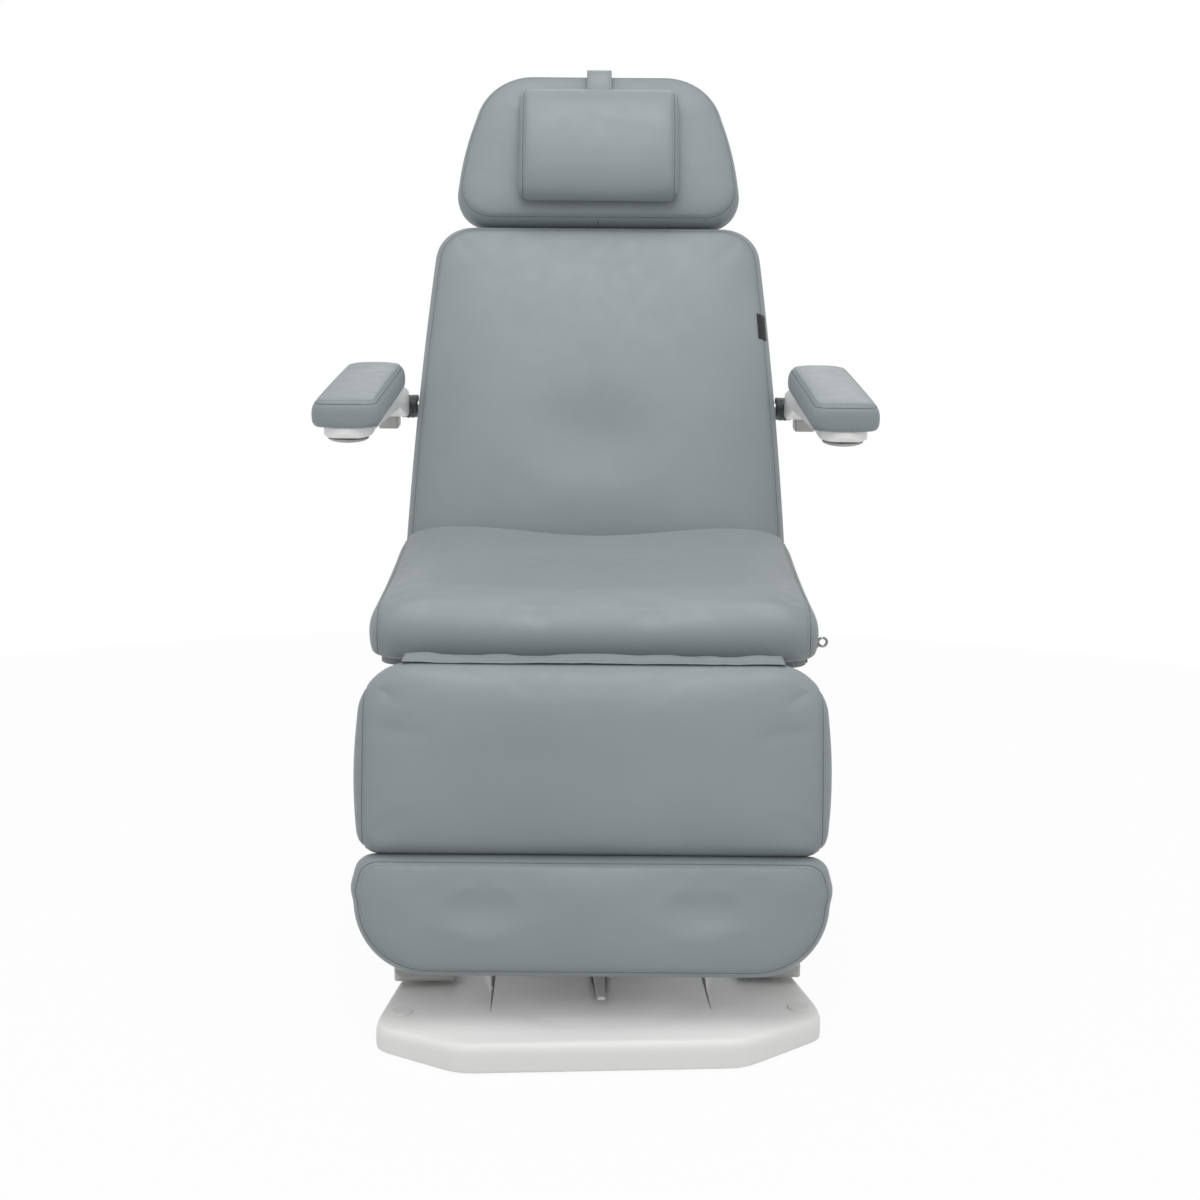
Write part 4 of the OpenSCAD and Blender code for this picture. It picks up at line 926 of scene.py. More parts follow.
    def billow(self, piece: Piece) -> None:
        """Fill the cover: cloth under pressure, held at its seams and its underside, its travel capped.

        Args:
            piece: The cover.
        """
        mesh = piece.data
        rest = [v.co.copy() for v in mesh.vertices]
        height, seam = ([entry.value for entry in mesh.attributes[n].data] for n in ("place_h", "seam"))
        group = piece.vertex_groups.new(name="held")
        for index, (up, near) in enumerate(zip(height, seam)):
            held = 1.0 if up < 0.1 else min(1.0, max(0.0, near * 1.35 - 0.2))
            group.add([index], held, "REPLACE")
        modifier = piece.modifiers.new("Cloth", "CLOTH")
        settings = modifier.settings
        settings.quality = 5
        settings.mass = 0.35
        for way, stiffness in self.CLOTH_STIFFNESS.items():
            setattr(settings, f"{way}_stiffness", stiffness)
        settings.use_pressure = True
        settings.uniform_pressure_force = self.pressure
        settings.vertex_group_mass = group.name
        settings.pin_stiffness = 1.0
        settings.effector_weights.gravity = 0.0
        modifier.collision_settings.use_collision = False
        modifier.point_cache.frame_start, modifier.point_cache.frame_end = 1, self.CLOTH_FRAMES
        scene = bpy.context.scene
        for number in range(1, self.CLOTH_FRAMES + 1):
            scene.frame_set(number)
        apply_modifiers(piece)
        for v, start in zip(piece.data.vertices, rest):
            move = v.co - start
            if move.length > self.swell:
                v.co = start + move * (self.swell / move.length)
        scene.frame_set(1)

    def build(self) -> Piece:
        """Make the cushion, its dark seam lines of painted shade and its stitches.

        Returns:
            The cushion's object.
        """
        bm, rim = self.cage(), self.seam is Seam.RIM
        if rim:
            self.rim_rows(bm)
        self.groove(bm)
        bmesh.ops.transform(bm, matrix=self.world(), verts=bm.verts[:])
        if self.mirror:
            bmesh.ops.reverse_faces(bm, faces=bm.faces[:])
        piece = new_piece(self.name, bm, CLOTH, self.body)
        self.billow(piece)
        subdivide(piece)
        if not rim:
            self.panel_rows(piece)
        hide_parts(self.node)
        # Thin dark tubes along the seams: painted shade of their folds.
        for k, line in enumerate(self.seam_lines):
            self.shaded_seam(piece, line, f"{self.name}_seam_{k + 1}", rim)
        for k, line in enumerate(self.stitch_lines):
            Stitching().build(f"{self.name}_stitches_{k + 1}", line, piece, self.body, rim)
        if self.end_seam:
            rise = [0.08, 0.25, 0.45, 0.62, self.end_seam]
            line = [self.world() @ Vector((0.0, self.y0, z * self.edge_h)) for z in rise]
            self.shaded_seam(piece, line, f"{self.name}_end_seam", False)
        return piece

    def shaded_seam(self, piece: Piece, line: list[Vector], name: str, closed: bool) -> Piece:
        """A thin dark tube along a seam, sunk almost into the cover: the seam's folded edge, with the shade in
        its fold painted into its colour.

        Args:
            piece: The cushion.
            line: The seam's line.
            name: The crease's name.
            closed: Whether the seam runs all round.

        Returns:
            The crease's object.
        """
        tree = surface(piece)
        hits = [tree.find_nearest(place) for place in evenly(line, 0.006, closed)]
        bm = bmesh.new()
        bm.from_mesh(tube_mesh([hit[0] - hit[1] * 0.0002 for hit in hits], self.CREASE_R, closed))
        return new_piece(name, bm, SEAM_SHADE, self.body)


class Upholstery:
    """All the cushions of the chair, with the sizes of their foam."""

    def seat(self) -> Cushion:
        """The seat cushion, with side panels, a hollow for the sitter and a raised rear edge.

        Returns:
            The cushion.
        """
        depth = 0.2645

        def relief(x: float, y: float) -> float:
            """The sitter's hollow, less the rise to the rear edge, less small swells behind and in front.

            Args:
                x: Place across.
                y: Place along.

            Returns:
                The depth.
            """
            rise = 0.018 * max(0.0, y / depth) ** 1.5
            corners = hollow(abs(x), y, 0.225, depth, 0.09, 0.05, 0.006)
            behind = corners - hollow(x, y, 0.0, depth, 0.12, 0.06, 0.004)
            front = hollow(x, y, 0.0, -0.150, 0.05, 0.03, 0.002)
            return hollow(x, y, 0.0, depth / 2, 0.1545, depth, 0.009) - rise - behind - front

        return Cushion("seat_cover", "seat_cushion", "seat", CHAIR, -0.172, depth, 0.618, 0.618, 0.044, 0.040,
                       0.0948, 0.008, 0.027, base_z=0.485, low_in=0.2, lean=1 / math.tan(BACK_ANGLE),
                       seam=Seam.SIDES, relief=relief, rows=32, crest=3.0, round_up=0.45, side_bulge=0.003,
                       seam_in=0.012)

    def back(self) -> Cushion:
        """The backrest cushion, with a lumbar hollow and a faint fall towards the two shoulders."""
        return Cushion("back_cover", "back_cushion", "backrest", BACK, -0.020, 0.602, 0.614, 0.542, 0.040,
                       0.060, 0.077, 0.018, 0.026, base_z=0.0328, bow=0.004, columns=40, rows=42, crest=2.6,
                       round_up=0.34,
                       relief=lambda x, y: (hollow(x, y, 0.0, 0.223, 0.102, 0.067, 0.008)
                                            + hollow(abs(x), y, 0.20, 0.50, 0.08, 0.10, 0.002)))

    def head(self) -> Cushion:
        """The headrest cushion, with a wide soft hollow where the neck pillow lies."""
        return Cushion("head_cover", "head_cushion", "headrest", BACK, 0.608, 0.874, 0.472, 0.420, 0.054,
                       0.096, 0.077, 0.014, 0.026, base_z=0.0328, bow=0.004, columns=36, rows=24, swell=0.005,
                       crest=2.6, side_bulge=0.002, end_seam=0.84,
                       relief=lambda x, y: hollow(x, y, 0.0, 0.735, 0.15, 0.09, 0.006))

    def pillow(self) -> Cushion:
        """The neck pillow: a flat roll with sewn side panels."""
        return Cushion("pillow_cover", "neck_pillow", "headrest", BACK, 0.632, 0.828, 0.264, 0.264, 0.018,
                       0.018, 0.046, 0.030, 0.016, base_z=0.1104, seam=Seam.SIDES, columns=26, rows=22,
                       swell=0.003, crest=2.2, roll=True, round_up=0.3, seam_in=0.0065, fill=0.7)

    def leg(self) -> Cushion:
        """The leg rest cushion, with sewn side panels and two long shallow hollows for the calves."""
        return Cushion("leg_cover", "leg_cushion", "legrest", LEG, -0.008, 0.245, 0.626, 0.626, 0.074, 0.034,
                       0.068, 0.014, 0.028, base_z=0.0298, bow=0.004, seam=Seam.SIDES, rows=24, swell=0.004,
                       pressure=2.5, crest=3.0, round_up=0.34, side_bulge=0.002, seam_in=0.0085,
                       relief=lambda x, y: hollow(abs(x), y, 0.13, 0.12, 0.09, 0.16, 0.0025))

    def foot(self) -> Cushion:
        """The footrest cushion, with two heel hollows."""
        return Cushion("foot_cover", "foot_cushion", "footrest", LEG, 0.2474, 0.405, 0.630, 0.630, 0.027,
                       0.098, 0.063, 0.011, 0.024, base_z=0.0348, bow=0.004, rows=18, swell=0.005, crest=2.8,
                       round_up=0.27, relief=lambda x, y: hollow(abs(x), y, 0.145, 0.310, 0.066, 0.038, 0.0150))

    def arm(self, left: bool) -> Cushion:
        """One armrest pad.

        Args:
            left: Whether it is the left one.

        Returns:
            The cushion.
        """
        side = "left" if left else "right"
        place = ARM @ Matrix.Translation((0.346, 0.0, 0.0))
        return Cushion(f"arm_cover_{side}", f"arm_pad_{side}", f"armrest_{side}", place, -0.607, -0.195, 0.093,
                       0.093, 0.020, 0.032, 0.044, 0.005, 0.012, base_z=0.062, columns=14, rows=34,
                       swell=0.0025, side_bulge=0.001, fill=0.85, mirror=left)

    def build(self) -> dict[str, Piece]:
        """Make every cushion.

        Returns:
            The cushions by their CAD node.
        """
        cushions = (self.seat(), self.back(), self.head(), self.pillow(), self.leg(), self.foot(),
                    self.arm(True), self.arm(False))
        return {cushion.node: cushion.build() for cushion in cushions}


@dataclass
class PillowStrap:
    """The flat strap that hangs the neck pillow over the headrest."""

    width: float = 0.042
    thick: float = 0.0016
    hem: float = 0.004
    pitch: float = 0.006

    ACROSS = (-0.5, -0.43, -0.3, -0.1, 0.1, 0.3, 0.43, 0.5)
    UNSEWN_ROWS = 6

    def line(self) -> list[Vector]:
        """The strap's line in the backrest's side view, from the pillow over the top and down behind."""
        points = [(0.8275, 0.1195), (0.836, 0.1145), (0.852, 0.1108), (0.866, 0.1070), (0.8738, 0.0995),
                  (0.8766, 0.0905), (0.8775, 0.070), (0.8772, 0.045), (0.876, 0.034), (0.870, 0.0205),
                  (0.860, 0.0196), (0.830, 0.0196)]
        return [Vector((0.0, u, w)) for u, w in points]

    def build(self) -> Piece:
        """Make the strap: a ribbon extruded along its line, thickened, with its hems sewn.

        Returns:
            The strap's object.
        """
        bm = bmesh.new()
        line = evenly(self.line(), self.pitch)
        row = [bm.verts.new((a * self.width, line[0].y, line[0].z)) for a in self.ACROSS]
        edges = [bm.edges.new(pair) for pair in zip(row, row[1:])]
        for before, point in zip(line, line[1:]):
            edges, verts = extrude(bm, edges)
            bmesh.ops.translate(bm, verts=verts, vec=point - before)
        thicken(bm, self.thick)
        bmesh.ops.transform(bm, matrix=BACK, verts=bm.verts[:])
        seam, hem_x = bm.verts.layers.float.new("seam"), self.width / 2 - self.hem
        for v in bm.verts:
            # The seam mask puckers the hems and darkens them as painted shade.
            v[seam] = 1.0 if abs(v.co.x) > hem_x else 0.1
        piece = new_piece("pillow_hanging_strap", bm, CLOTH, "headrest")
        subdivide(piece)
        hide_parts("pillow_strap")
        for side, word in ((-1, "left"), (1, "right")):
            hem = [BACK @ Vector((side * hem_x, p.y, p.z + 0.001)) for p in line[:-self.UNSEWN_ROWS]]
            Stitching(0.004, 0.0028, 0.0004).build(f"strap_stitches_{word}", hem, piece, "headrest", False)
        return piece


@dataclass
class GapFlap:
    """The slack cloth between the seat and the leg rest."""

    width: float = 0.512
    thick: float = 0.0012
    pitch: float = 0.0062
    columns: int = 96
    wave: float = 0.0032
    free_end: float = 0.86

    def profile(self) -> list[Vector]:
        """The flap's line in side view, from under the seat to the top of the leg rest.

        Returns:
            The line's points.
        """
        seat = ((-0.1586, 0.4850), (-0.1675, 0.4880), (-0.1790, 0.4945), (-0.1890, 0.5000))
        leg = ((-0.0136, 0.030), (-0.0110, 0.040), (-0.0100, 0.049), (-0.0090, 0.058), (-0.0072, 0.066))
        return [CHAIR @ Vector((0.0, y, z)) for y, z in seat] + [LEG @ Vector((0.0, u, w)) for u, w in leg]

    def lift(self, x: float, t: float) -> float:
        """How far the cloth waves up off its line.

        Args:
            x: Place across, from -0.5 to 0.5.
            t: Place along, from 0 to 1.

        Returns:
            The height.
        """
        free = math.sin(math.pi * min(1.0, t / self.free_end)) ** 0.8 if t < self.free_end else 0.35
        across = math.sin(2 * math.pi * (3.3 * x + 0.15) + 1.1 * t) * math.cos(2 * math.pi * x)
        wide = x * self.width
        small = (0.9 * noise.noise(Vector((wide * 22, t * 3, 0.7)))
                 + 0.4 * noise.noise(Vector((wide * 60, t * 5, 2.2))))
        return max(0.0, self.wave * free * (0.5 + 0.5 * across + small))

    def build(self) -> Piece:
        """Make the flap: a grid laid along its line, gathered in waves and thickened, its hem marked in the
        seam mask.

        Returns:
            The flap's object.
        """
        line = evenly(self.profile(), self.pitch)
        rows = len(line) - 1
        bm = bmesh.new()
        bmesh.ops.create_grid(bm, x_segments=self.columns, y_segments=rows, size=0.5)
        seam = bm.verts.layers.float.new("seam")
        for v in bm.verts:
            x, t = v.co.x, v.co.y + 0.5
            # The seam mask puckers the cloth and darkens it as painted shade, most along the hem and the end at
            # the leg rest.
            v[seam] = 1.0 if t > 0.82 or abs(x) > 0.485 else 0.35
            place = line[min(rows, round(t * rows))]
            v.co = Vector((x * self.width, place.y, place.z + self.lift(x, t)))
        thicken(bm, -self.thick)
        piece = new_piece("gap_flap_cloth", bm, FLAP_CLOTH, "seat")
        subdivide(piece)
        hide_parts("gap_flap")
        hinge = LEG_HINGE
        piece.parent = None
        del piece["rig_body"]
        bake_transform(piece, "seat", "legrest", start=(0, hinge.y + 0.020, hinge.z + 0.006),
                 end=(0, hinge.y - 0.030, hinge.z + 0.026))
        return piece


@dataclass
class ArmSleeve:
    """The dark gathered sleeve over an armrest's shaft."""

    left: bool
    radius: float = 0.0192
    start: float = 0.300
    end: float = 0.3312
    wall: float = 0.0016
    steps: int = 16
    around: int = 40

    def swelling(self, t: float, x: float, y: float) -> float:
        """How far the sleeve stands off its plain round.

        Args:
            t: Place along, from 0 to 1.
            x: The point on its plain round.
            y: The same point's second coordinate.

        Returns:
            The length.
        """
        angle = math.atan2(y, x)
        gather = 0.0011 * math.sin(3.1 * angle + 5.0 * t)
        crumple = 0.0009 * noise.noise(Vector((x * 90, y * 90, t * 5)))
        rings = 0.0007 * math.sin(2 * math.pi * t * 4.2 + 0.8 * math.sin(angle))
        ends = -0.0014 * math.exp(-((t / 0.1) ** 2)) - 0.0012 * math.exp(-(((1 - t) / 0.1) ** 2))
        return gather + crumple + rings + ends

    def build(self) -> Piece:
        """Make the sleeve: a pipe with soft gathers and drawn-in ends.

        Returns:
            The sleeve's object.
        """
        bm = bmesh.new()
        length = self.end - self.start
        bmesh.ops.create_circle(bm, cap_ends=False, segments=self.around, radius=self.radius)
        edges = bm.edges[:]
        for _ in range(self.steps):
            edges, verts = extrude(bm, edges)
            bmesh.ops.translate(bm, verts=verts, vec=Vector((0, 0, length / self.steps)))
        seam = bm.verts.layers.float.new("seam")
        for v in bm.verts:
            grow = 1 + self.swelling(v.co.z / length, v.co.x, v.co.y) / self.radius
            v.co.x, v.co.y = v.co.x * grow, v.co.y * grow
            v[seam] = 0.6
        bmesh.ops.solidify(bm, geom=bm.faces[:], thickness=self.wall)
        place = (Matrix.Translation(ARM_AXIS) @ Matrix.Translation((self.start, 0, 0))
                 @ Matrix.Rotation(math.pi / 2, 4, "Y"))
        bmesh.ops.transform(bm, matrix=MIRROR @ place if self.left else place, verts=bm.verts[:])
        bmesh.ops.recalc_face_normals(bm, faces=bm.faces[:])
        piece = new_piece(f"arm_sleeve_{'left' if self.left else 'right'}", bm, SLEEVE_CLOTH, "backrest")
        subdivide(piece)
        return piece


@dataclass
class EdgeTag:
    """The small plain black tag sewn into the backrest's right edge."""

    across: float = 0.2775
    up: float = 0.423
    length: float = 0.043
    width: float = 0.0135
    skew: float = 0.06
    thick: float = 0.0009

    def build(self, back: Piece) -> Piece:
        """Make the tag: a slip of cloth that follows the cushion's edge.

        Args:
            back: The backrest cushion that it is sewn to.

        Returns:
            The tag's object.
        """
        tree, down = surface(back), BACK.to_3x3() @ DOWN
        bm = bmesh.new()
        bmesh.ops.create_grid(bm, x_segments=4, y_segments=10, size=0.5)
        for v in bm.verts:
            x, y = (v.co.x + 0.5) * self.width, v.co.y * self.length
            start = BACK @ Vector((self.across - x - y * self.skew, self.up + y, 0.135))
            hit = tree.ray_cast(start, down)
            v.co = start + down * 0.03 if hit[0] is None else hit[0] + hit[1] * 0.0012
        thicken(bm, self.thick)
        return new_piece("edge_tag", bm, TAG_CLOTH, "backrest")


@dataclass
class SoftenedMoulding:
    """A moulded piece with the soft edges that its mould leaves: the solid, remeshed finely and relaxed."""

    node: str
    body: str
    finish: MouldedPlastic
    voxel: float = 0.0018
    passes: int = 5

    def build(self) -> Piece:
        """Make the piece from a copy of the solid's mesh.

        Returns:
            The piece's object.
        """
        bm = bmesh.new()
        bm.from_mesh(frame["nodes"][self.node].data)
        piece = new_piece(f"{self.node}_moulding", bm, self.finish, self.body)
        remesh = piece.modifiers.new("Remesh", "REMESH")
        remesh.mode = "VOXEL"
        remesh.voxel_size = self.voxel
        remesh.use_smooth_shade = True
        relax = piece.modifiers.new("Smooth", "SMOOTH")
        relax.factor = 0.5
        relax.iterations = self.passes
        apply_modifiers(piece)
        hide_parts(self.node)
        return piece


@dataclass
class FairingShadeSliver:
    """A dark sliver of painted shade, for the narrow tapering gap where a flank of the base's fairing folds
    into the slab.
    """

    side: int
    across: float = 0.1445
    splay: float = 0.004
    start: float = -0.185
    length: float = 0.132
    width: float = 0.0085
    point: float = 0.0006
    thick: float = 0.0006

    def build(self, shell: Piece) -> Piece:
        """Lay the painted shade sliver of the gap on the shell.

        Args:
            shell: The base's shell.

        Returns:
            The crease's object.
        """
        tree = surface(shell)
        bm = bmesh.new()
        bmesh.ops.create_grid(bm, x_segments=2, y_segments=24, size=0.5)
        for v in bm.verts:
            run = 0.5 - v.co.y
            wide = self.point + (self.width - self.point) * (1 - run) ** 1.4
            x = self.side * (self.across + self.splay * run) + v.co.x * wide
            hit = tree.ray_cast(BASE @ Vector((x, self.start - self.length * run, 0.2)), DOWN)
            v.co = hit[0] + Vector((0, 0, 0.0004))
        thicken(bm, self.thick)
        return new_piece(f"fairing_crease_{'right' if self.side > 0 else 'left'}", bm, SHADE_GREY, "base")


@dataclass
class BaseShell:
    """The moulded cover of the base: a flat slab with a soft rim, two folds, and a raised fairing.

    Its mesh is made of spokes from the turntable's hole out to the rim, and of rings across them.
    """

    hole_r: float = 0.150
    fairing_r: float = 0.178
    fairing_top: float = 0.068
    slab_top: float = 0.040
    roof: float = 0.042
    roof_fall: float = 0.006
    low: float = 0.003
    wall: float = 0.003
    fold: float = 0.0012
    lever_half: float = 0.0098
    lever_taper: float = 0.0032
    trough_floor: float = 0.046

    FOLD_X, WING = 0.178, 0.122
    TIP_START, TIP_RUN = 0.09, 0.21
    LEVER_Y = (-0.305, -0.14)
    TAPER_START, TAPER_RUN = 0.165, 0.155
    TROUGH_GAP, TROUGH_EDGE = 0.0012, 0.0005
    SLOPE_SHARES = (0.04, 0.2, 0.4, 0.6, 0.8, 0.965)
    FOLD_OUTS = (0.0, 0.0016, 0.006)
    ROOF_SHARES = (0.2, 0.45, 0.7, 0.9)
    RIM = ((0.0100, 1.0), (0.0066, 0.975), (0.0030, 0.90), (0.0008, 0.78), (0.0, 0.62), (0.0, 0.3), (0.0, 0.06))

    def outline(self) -> list[Vector]:
        """The slab's outline, whose two front wings differ a little, with its corners rounded.

        Returns:
            The points, anticlockwise from the right front.
        """
        front_right = [(0.183, -0.417, 0.006), (0.303, -0.328, 0.017)]
        front_left = [(-0.306, -0.347, 0.017), (-0.190, -0.423, 0.006)]
        right = [(0.258, -0.101, 0.040), (0.258, 0.101, 0.040), (0.262, 0.340, 0.020), (0.150, 0.440, 0.010)]
        corners = front_right + right + [(-x, y, r) for x, y, r in reversed(right)] + front_left
        points, steps = [], 8
        for k, (x, y, r) in enumerate(corners):
            here = Vector((x, y))
            before = Vector(corners[k - 1][:2]) - here
            after = Vector(corners[(k + 1) % len(corners)][:2]) - here
            reach = min(r, before.length * 0.45, after.length * 0.45)
            a, b = here + before.normalized() * reach, here + after.normalized() * reach
            for t in (step / steps for step in range(steps + 1)):
                points.append(a * (1 - t) ** 2 + here * 2 * t * (1 - t) + b * t ** 2)
        return points

    def reach(self, points: list[Vector], angle: float) -> float:
        """Distance from the swivel axis to an outline, in one direction.

        Args:
            points: The outline.
            angle: The direction.

        Returns:
            The distance.
        """
        ray, best, little = heading(angle), 0.0, 1e-9
        for a, b in zip(points, points[1:] + points[:1]):
            edge = b - a
            cross = ray.cross(edge)
            if abs(cross) > 1e-12:
                along, share = a.cross(edge) / cross, a.cross(ray) / cross
                if along > 0 and -little <= share <= 1 + little:
                    best = max(best, along)
        return best

    def footprint(self) -> list[Vector]:
        """The fairing's footprint: its round top joined to its tip in front and its tail behind.

        Returns:
            The points of the outline round them all, anticlockwise.
        """
        half = [(0.070, -0.370), (0.140, -0.300), (0.140, 0.230), (0.070, 0.300)]
        corners = [Vector(p) for p in half] + [Vector((-x, y)) for x, y in reversed(half)]
        ring = [heading(2 * math.pi * k / 72) * self.fairing_r for k in range(72)]
        ordered = sorted(corners + ring, key=lambda p: (p.x, p.y))

        def chain(run: list[Vector]) -> list[Vector]:
            """One side of the outline.

            Args:
                run: All the points, from one end of the set to the other.

            Returns:
                Those on the outline, without the last one.
            """
            kept: list[Vector] = []
            for p in run:
                while len(kept) > 1 and (kept[-1] - kept[-2]).cross(p - kept[-2]) <= 0:
                    kept.pop()
                kept.append(p)
            return kept[:-1]

        return chain(ordered) + chain(ordered[::-1])

    def roof_at(self, x: float) -> float:
        """Height of the slab's roof: level between the folds, falling to the wings."""
        return self.roof - self.roof_fall * max(0.0, abs(x) - self.FOLD_X) / self.WING

    def directions(self) -> list[float]:
        """Directions of the mesh's spokes, close together at the lever.

        Returns:
            The angles, from 0 to a full turn.
        """
        fine = [math.radians(-90 + 0.55 * k) for k in range(-14, 15)]
        coarse = [math.radians(-90 + 8.4 + 2.4 * k) for k in range(144)]
        return sorted(a % (2 * math.pi) for a in fine + [c for c in coarse if c < math.radians(270 - 8.2)])

    def build(self) -> Piece:
        """Make the shell: spokes from the hole to the rim, with close rings at every fold of its form.

        Returns:
            The shell's object.
        """
        angles = self.directions()
        slab, foot = self.outline(), self.footprint()
        spokes = [(a, self.reach(foot, a), self.reach(slab, a)) for a in angles]
        bm = bmesh.new()
        spoke = bm.verts.layers.int.new("spoke")
        bmesh.ops.create_circle(bm, cap_ends=False, segments=len(angles), radius=1.0)
        verts = sorted(bm.verts[:], key=lambda v: (math.atan2(v.co.y, v.co.x) + 1e-6) % (2 * math.pi))
        for k, v in enumerate(verts):
            v[spoke] = k
        edges = bm.edges[:]
        for number, ring in enumerate(self.rings(spokes)):
            if number:
                edges, verts = extrude(bm, edges)
            for v in verts:
                r, z = ring[v[spoke]]
                v.co = (*(heading(angles[v[spoke]]) * r), z)
        bmesh.ops.recalc_face_normals(bm, faces=bm.faces[:])
        if sum(f.normal.z * f.calc_area() for f in bm.faces) < 0:
            bmesh.ops.reverse_faces(bm, faces=bm.faces[:])
        bmesh.ops.transform(bm, matrix=BASE, verts=bm.verts[:])
        piece = new_piece("base_shell", bm, WHITE, "base")
        skin = piece.modifiers.new("Solidify", "SOLIDIFY")
        skin.thickness = self.wall
        skin.offset = -1.0
        apply_modifiers(piece)
        subdivide(piece)
        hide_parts("base_cover")
        return piece

    def rings(self, spokes: list[Triple]) -> list[Ring]:
        """Distances and heights of every ring, from the hole outwards and down the rim.

        Args:
            spokes: Each spoke's direction, the fairing's reach on it, and the slab's.

        Returns:
            The rings.
        """
        def roof(angle: float, r: float) -> float:
            """Height of the slab's roof at a place."""
            return self.roof_at(r * math.cos(angle))

        def foot(angle: float, near: float, far: float, out: float) -> tuple[float, float]:
            """A point round the fairing's foot.

            Args:
                angle: The spoke's direction.
                near: The fairing's reach on it.
                far: The slab's reach on it.
                out: Distance from the fold, 0 for its upper edge.

            Returns:
                Distance and height.
            """
            edge, high = self.slope(angle, near, 1.0)
            r = min(edge + self.fold + out, far - 0.016)
            level = roof(angle, r)
            return r, high if out == 0.0 and high > level + 0.002 else level

        def between(near: float, far: float, share: float) -> float:
            """A distance between the fairing's foot and the rim, at a share of the way."""
            start, stop = min(near + 0.0072, far - 0.0155), far - 0.012
            return start + (stop - start) * share

        top, hole, low = self.fairing_top, self.hole_r, self.low
        flat = ((hole, top - 0.003), (hole + 0.003, top), (0.165, top), (0.172, top), (0.1765, top - 0.0004))
        rings = [[(hole, top - 0.012)] * len(spokes)]
        rings += [[(r, self.trough(a, r, z)) for a, _, _ in spokes] for r, z in flat]
        rings += [[self.slope(a, near, share) for a, near, _ in spokes] for share in self.SLOPE_SHARES]
        rings += [[foot(*spoke, out) for spoke in spokes] for out in self.FOLD_OUTS]
        rings += [[(r, roof(a, r)) for r, a in ((between(near, far, share), a) for a, near, far in spokes)]
                  for share in self.ROOF_SHARES]
        rings += [[(far - inset, low + (roof(a, far - 0.01) - low) * share) for a, _, far in spokes]
                  for inset, share in self.RIM]
        rings.append([(far, low) for _, _, far in spokes])
        return rings

    def slope(self, angle: float, edge: float, share: float) -> tuple[float, float]:
        """A point on the fairing's slope.

        Args:
            angle: The spoke's direction.
            edge: The footprint's reach on the spoke.
            share: Way from the fairing's round top to the footprint's edge.

        Returns:
            Distance and height.
        """
        run = max(0.0, edge - self.fairing_r)
        r = self.fairing_r + (run + self.fold) * share
        tip = min(1.0, max(0.0, (abs(edge * math.sin(angle)) - self.TIP_START) / self.TIP_RUN))
        fall = (self.fairing_top - self.slab_top) * tip if run > 0.004 else 0.0015
        return r, self.trough(angle, r, self.fairing_top - fall * share)

    def trough(self, angle: float, r: float, z: float) -> float:
        """Sink the skin under the lever.

        Args:
            angle: The spoke's direction.
            r: The distance.
            z: The height before.

        Returns:
            The height after.
        """
        x, y = r * math.cos(angle), r * math.sin(angle)
        if not self.LEVER_Y[0] <= y <= self.LEVER_Y[1]:
            return z
        half = self.lever_half - self.lever_taper * max(0.0, (-y - self.TAPER_START) / self.TAPER_RUN)
        deep = 1 / (1 + math.exp((abs(x) - half - self.TROUGH_GAP) / self.TROUGH_EDGE))
        return z - max(0.0, z - self.trough_floor) * deep


class CarriedNodes:
    """The CAD nodes: each gets its finish, also those that a finer piece replaces."""

    FINISHES = {
        FRAME_STEEL: "base_spine base_crossbeams turntable_plate lift_head seat_pan back_pan head_bracket "
                     "leg_frame foot_frame",
        FOOT_RUBBER: "levelling_feet",
        WHITE: "base_cover turntable_cover arm_shell_left arm_shell_right",
        WHITE_TRIM: "cover_caps",
        BLACK: "mains_inlet",
        GREY: "control_box tilt_actuator leg_actuator back_actuator arm_cap_left arm_cap_right",
        BEARING: "bearing_lower_ring bearing_upper_ring tilt_pin recline_pins leg_pins actuator_pins arm_stubs",
        PEDAL_GREY: "pedal_left pedal_right",
        LIT_LEVER_GREY: "lock_lever",
        COLUMN: "column_outer column_middle column_inner",
        BRIGHT: "tilt_actuator_rod leg_actuator_rod back_actuator_rod head_rods foot_rods",
        RING_STEEL: "accessory_ring",
        BOARD_WRAP: "seat_board back_board head_board leg_board foot_board",
        BRACKET_GREY: "arm_hub_left arm_hub_right",
        CLOTH: "seat_cushion back_cushion head_cushion neck_pillow pillow_strap leg_cushion foot_cushion "
               "arm_pad_left arm_pad_right gap_flap",
        SLEEVE_CLOTH: "arm_sleeves",
    }

    def build(self) -> None:
        """Give every node its finish."""
        for finish, names in self.FINISHES.items():
            for name in names.split():
                materials = frame["nodes"][name].data.materials
                materials.clear()
                materials.append(material(finish))
                log.info("%s: %s", name, finish.name)


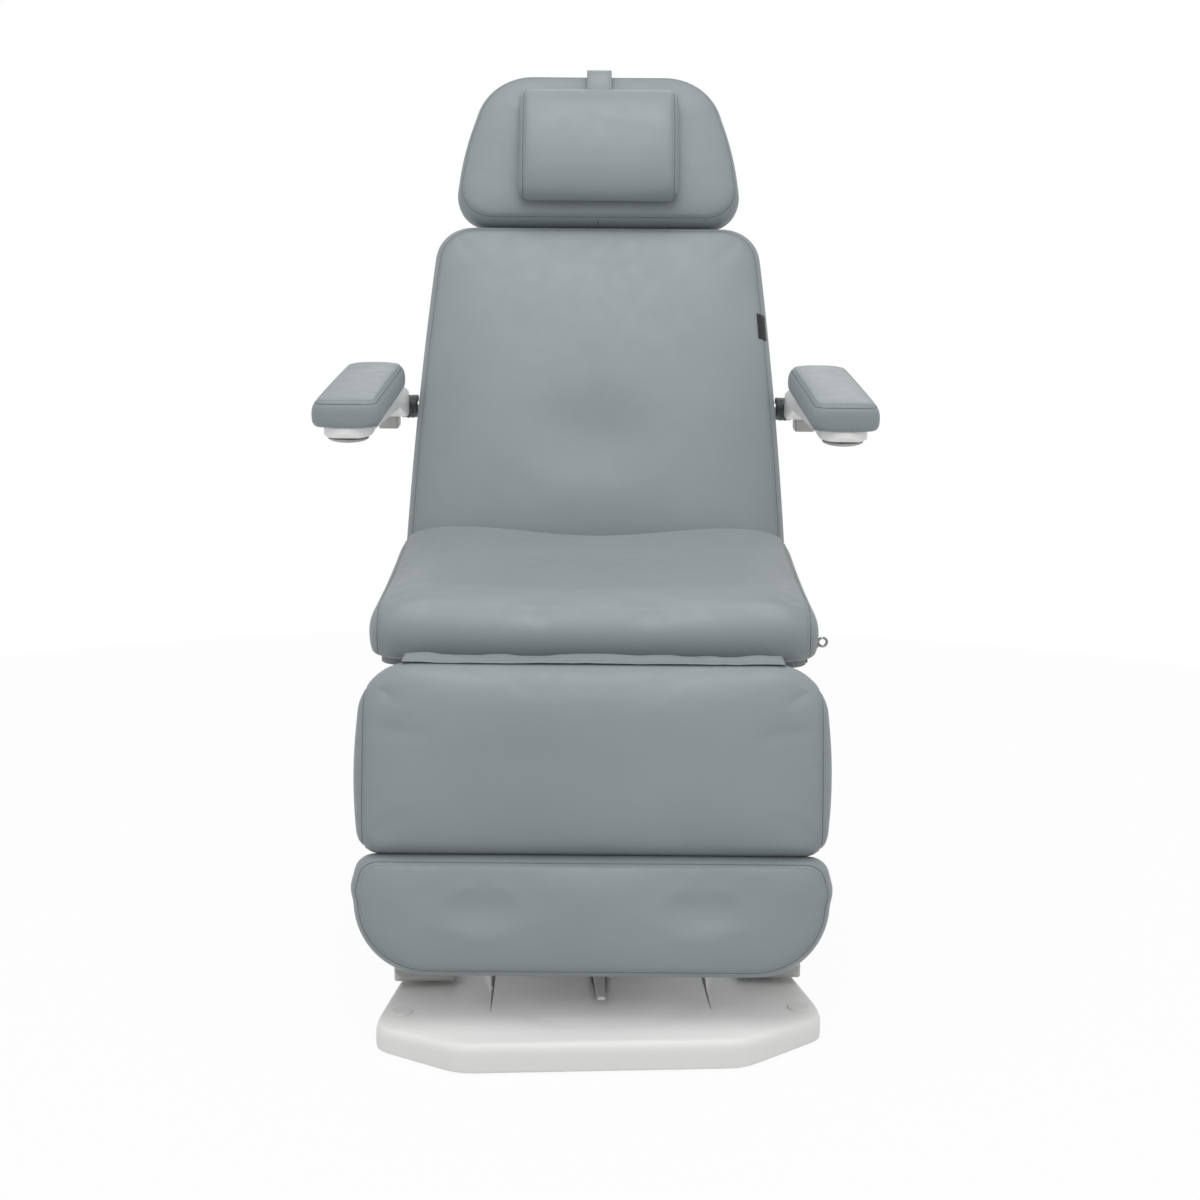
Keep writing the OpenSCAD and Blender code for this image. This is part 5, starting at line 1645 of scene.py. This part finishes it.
@dataclass
class Studio:
    """The pale floor, the soft lamps, the white surroundings and the camera."""

    eye: Triple = (0.008, -2.946, 1.164)
    pitch: float = 12.7
    roll: float = 0.45
    focal_px: float = 1972.0
    image_px: float = 1200.0
    sensor_mm: float = 36.0
    floor_grey: float = 0.68
    floor_r: float = 3.1
    floor_y: float = -1.2
    world_light: float = 0.74

    LAMPS = (("key_softbox", (0.0, -2.9, 3.9), (0.0, -0.2, 0.6), 2.2, 24.0),
             ("overhead_softbox", (0.0, -0.9, 4.2), (0.0, -0.2, 0.6), 2.2, 50.0),
             ("rear_softbox", (0.3, 3.0, 2.4), (0.0, 0.2, 0.8), 2.0, 8.0))

    def lamp(self, name: str, place: Triple, aim: Triple, size: float, power: float) -> None:
        """Hang one soft square lamp.

        Args:
            name: Its name.
            place: Where it hangs.
            aim: What it points at.
            size: Its side length.
            power: Its power in watts.
        """
        light = bpy.data.lights.new(name, "AREA")
        light.energy = power
        light.size = size
        carrier = bpy.data.objects.new(name, light)
        carrier.location = place
        carrier.rotation_euler = (Vector(aim) - Vector(place)).to_track_quat("-Z", "Y").to_euler()
        bpy.context.scene.collection.objects.link(carrier)

    def floor(self) -> None:
        """Lay the floor, which keeps a faint shadow of the chair."""
        bm = bmesh.new()
        bmesh.ops.create_circle(bm, cap_ends=True, segments=64, radius=self.floor_r,
                                matrix=Matrix.Translation((0, self.floor_y, 0)))
        mesh = bpy.data.meshes.new("studio_floor")
        bm.to_mesh(mesh)
        bm.free()
        floor = bpy.data.objects.new("studio_floor", mesh)
        bpy.context.scene.collection.objects.link(floor)
        shade = Shade("studio_floor_paint", 0.9)
        shade.set("Base Color", (self.floor_grey, self.floor_grey, self.floor_grey, 1))
        shade.whiten("Principled BSDF", "Emission", "Material Output", "Camera Glossy Transmission", 0.95)
        mesh.materials.append(shade.material)

    def surroundings(self) -> None:
        """Light the world evenly, and show it white."""
        world = bpy.data.worlds.new("studio_world")
        bpy.context.scene.world = world
        world.use_nodes = True
        back = world.node_tree.nodes["Background"]
        back.inputs["Color"].default_value = (1.0, 1.0, 0.99, 1)
        back.inputs["Strength"].default_value = self.world_light
        Nodes(world.node_tree).whiten("Background", "Background", "World Output", "Camera Transmission", 1.0)

    def camera(self) -> None:
        """Place the camera where the photograph was taken from."""
        data = bpy.data.cameras.new("photo_camera")
        data.sensor_width = self.sensor_mm
        data.lens = self.focal_px / self.image_px * self.sensor_mm
        data.clip_end = 50.0
        camera = bpy.data.objects.new("photo_camera", data)
        tilt = Matrix.Rotation(math.radians(90 - self.pitch), 4, "X")
        turn = tilt @ Matrix.Rotation(math.radians(self.roll), 4, "Z")
        camera.matrix_world = Matrix.Translation(self.eye) @ turn
        bpy.context.scene.collection.objects.link(camera)
        bpy.context.scene.camera = camera

    def build(self) -> None:
        """Set up the whole studio."""
        self.camera()
        self.floor()
        self.surroundings()
        for lamp in self.LAMPS:
            self.lamp(*lamp)
        bpy.context.scene.view_settings.view_transform = "Standard"


def main() -> None:
    """Build the studio, dress the chair's nodes, and make the soft pieces."""
    logging.basicConfig(level=logging.INFO, format="%(message)s")
    Studio().build()
    CarriedNodes().build()
    shell = BaseShell().build()
    for side in (-1, 1):
        FairingShadeSliver(side).build(shell)
    for side in ("left", "right"):
        SoftenedMoulding(f"arm_shell_{side}", f"armrest_{side}", LIT_SHELL_WHITE).build()
        SoftenedMoulding(f"arm_hub_{side}", f"arm_bracket_{side}", BRACKET_GREY, voxel=0.0015, passes=6).build()
    cushions = Upholstery().build()
    PillowStrap().build()
    GapFlap().build()
    sleeves = [ArmSleeve(left).build() for left in (True, False)]
    for sleeve in sleeves:
        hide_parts("arm_sleeves")
    EdgeTag().build(cushions["back_cushion"])


if __name__ == "__main__":
    main()
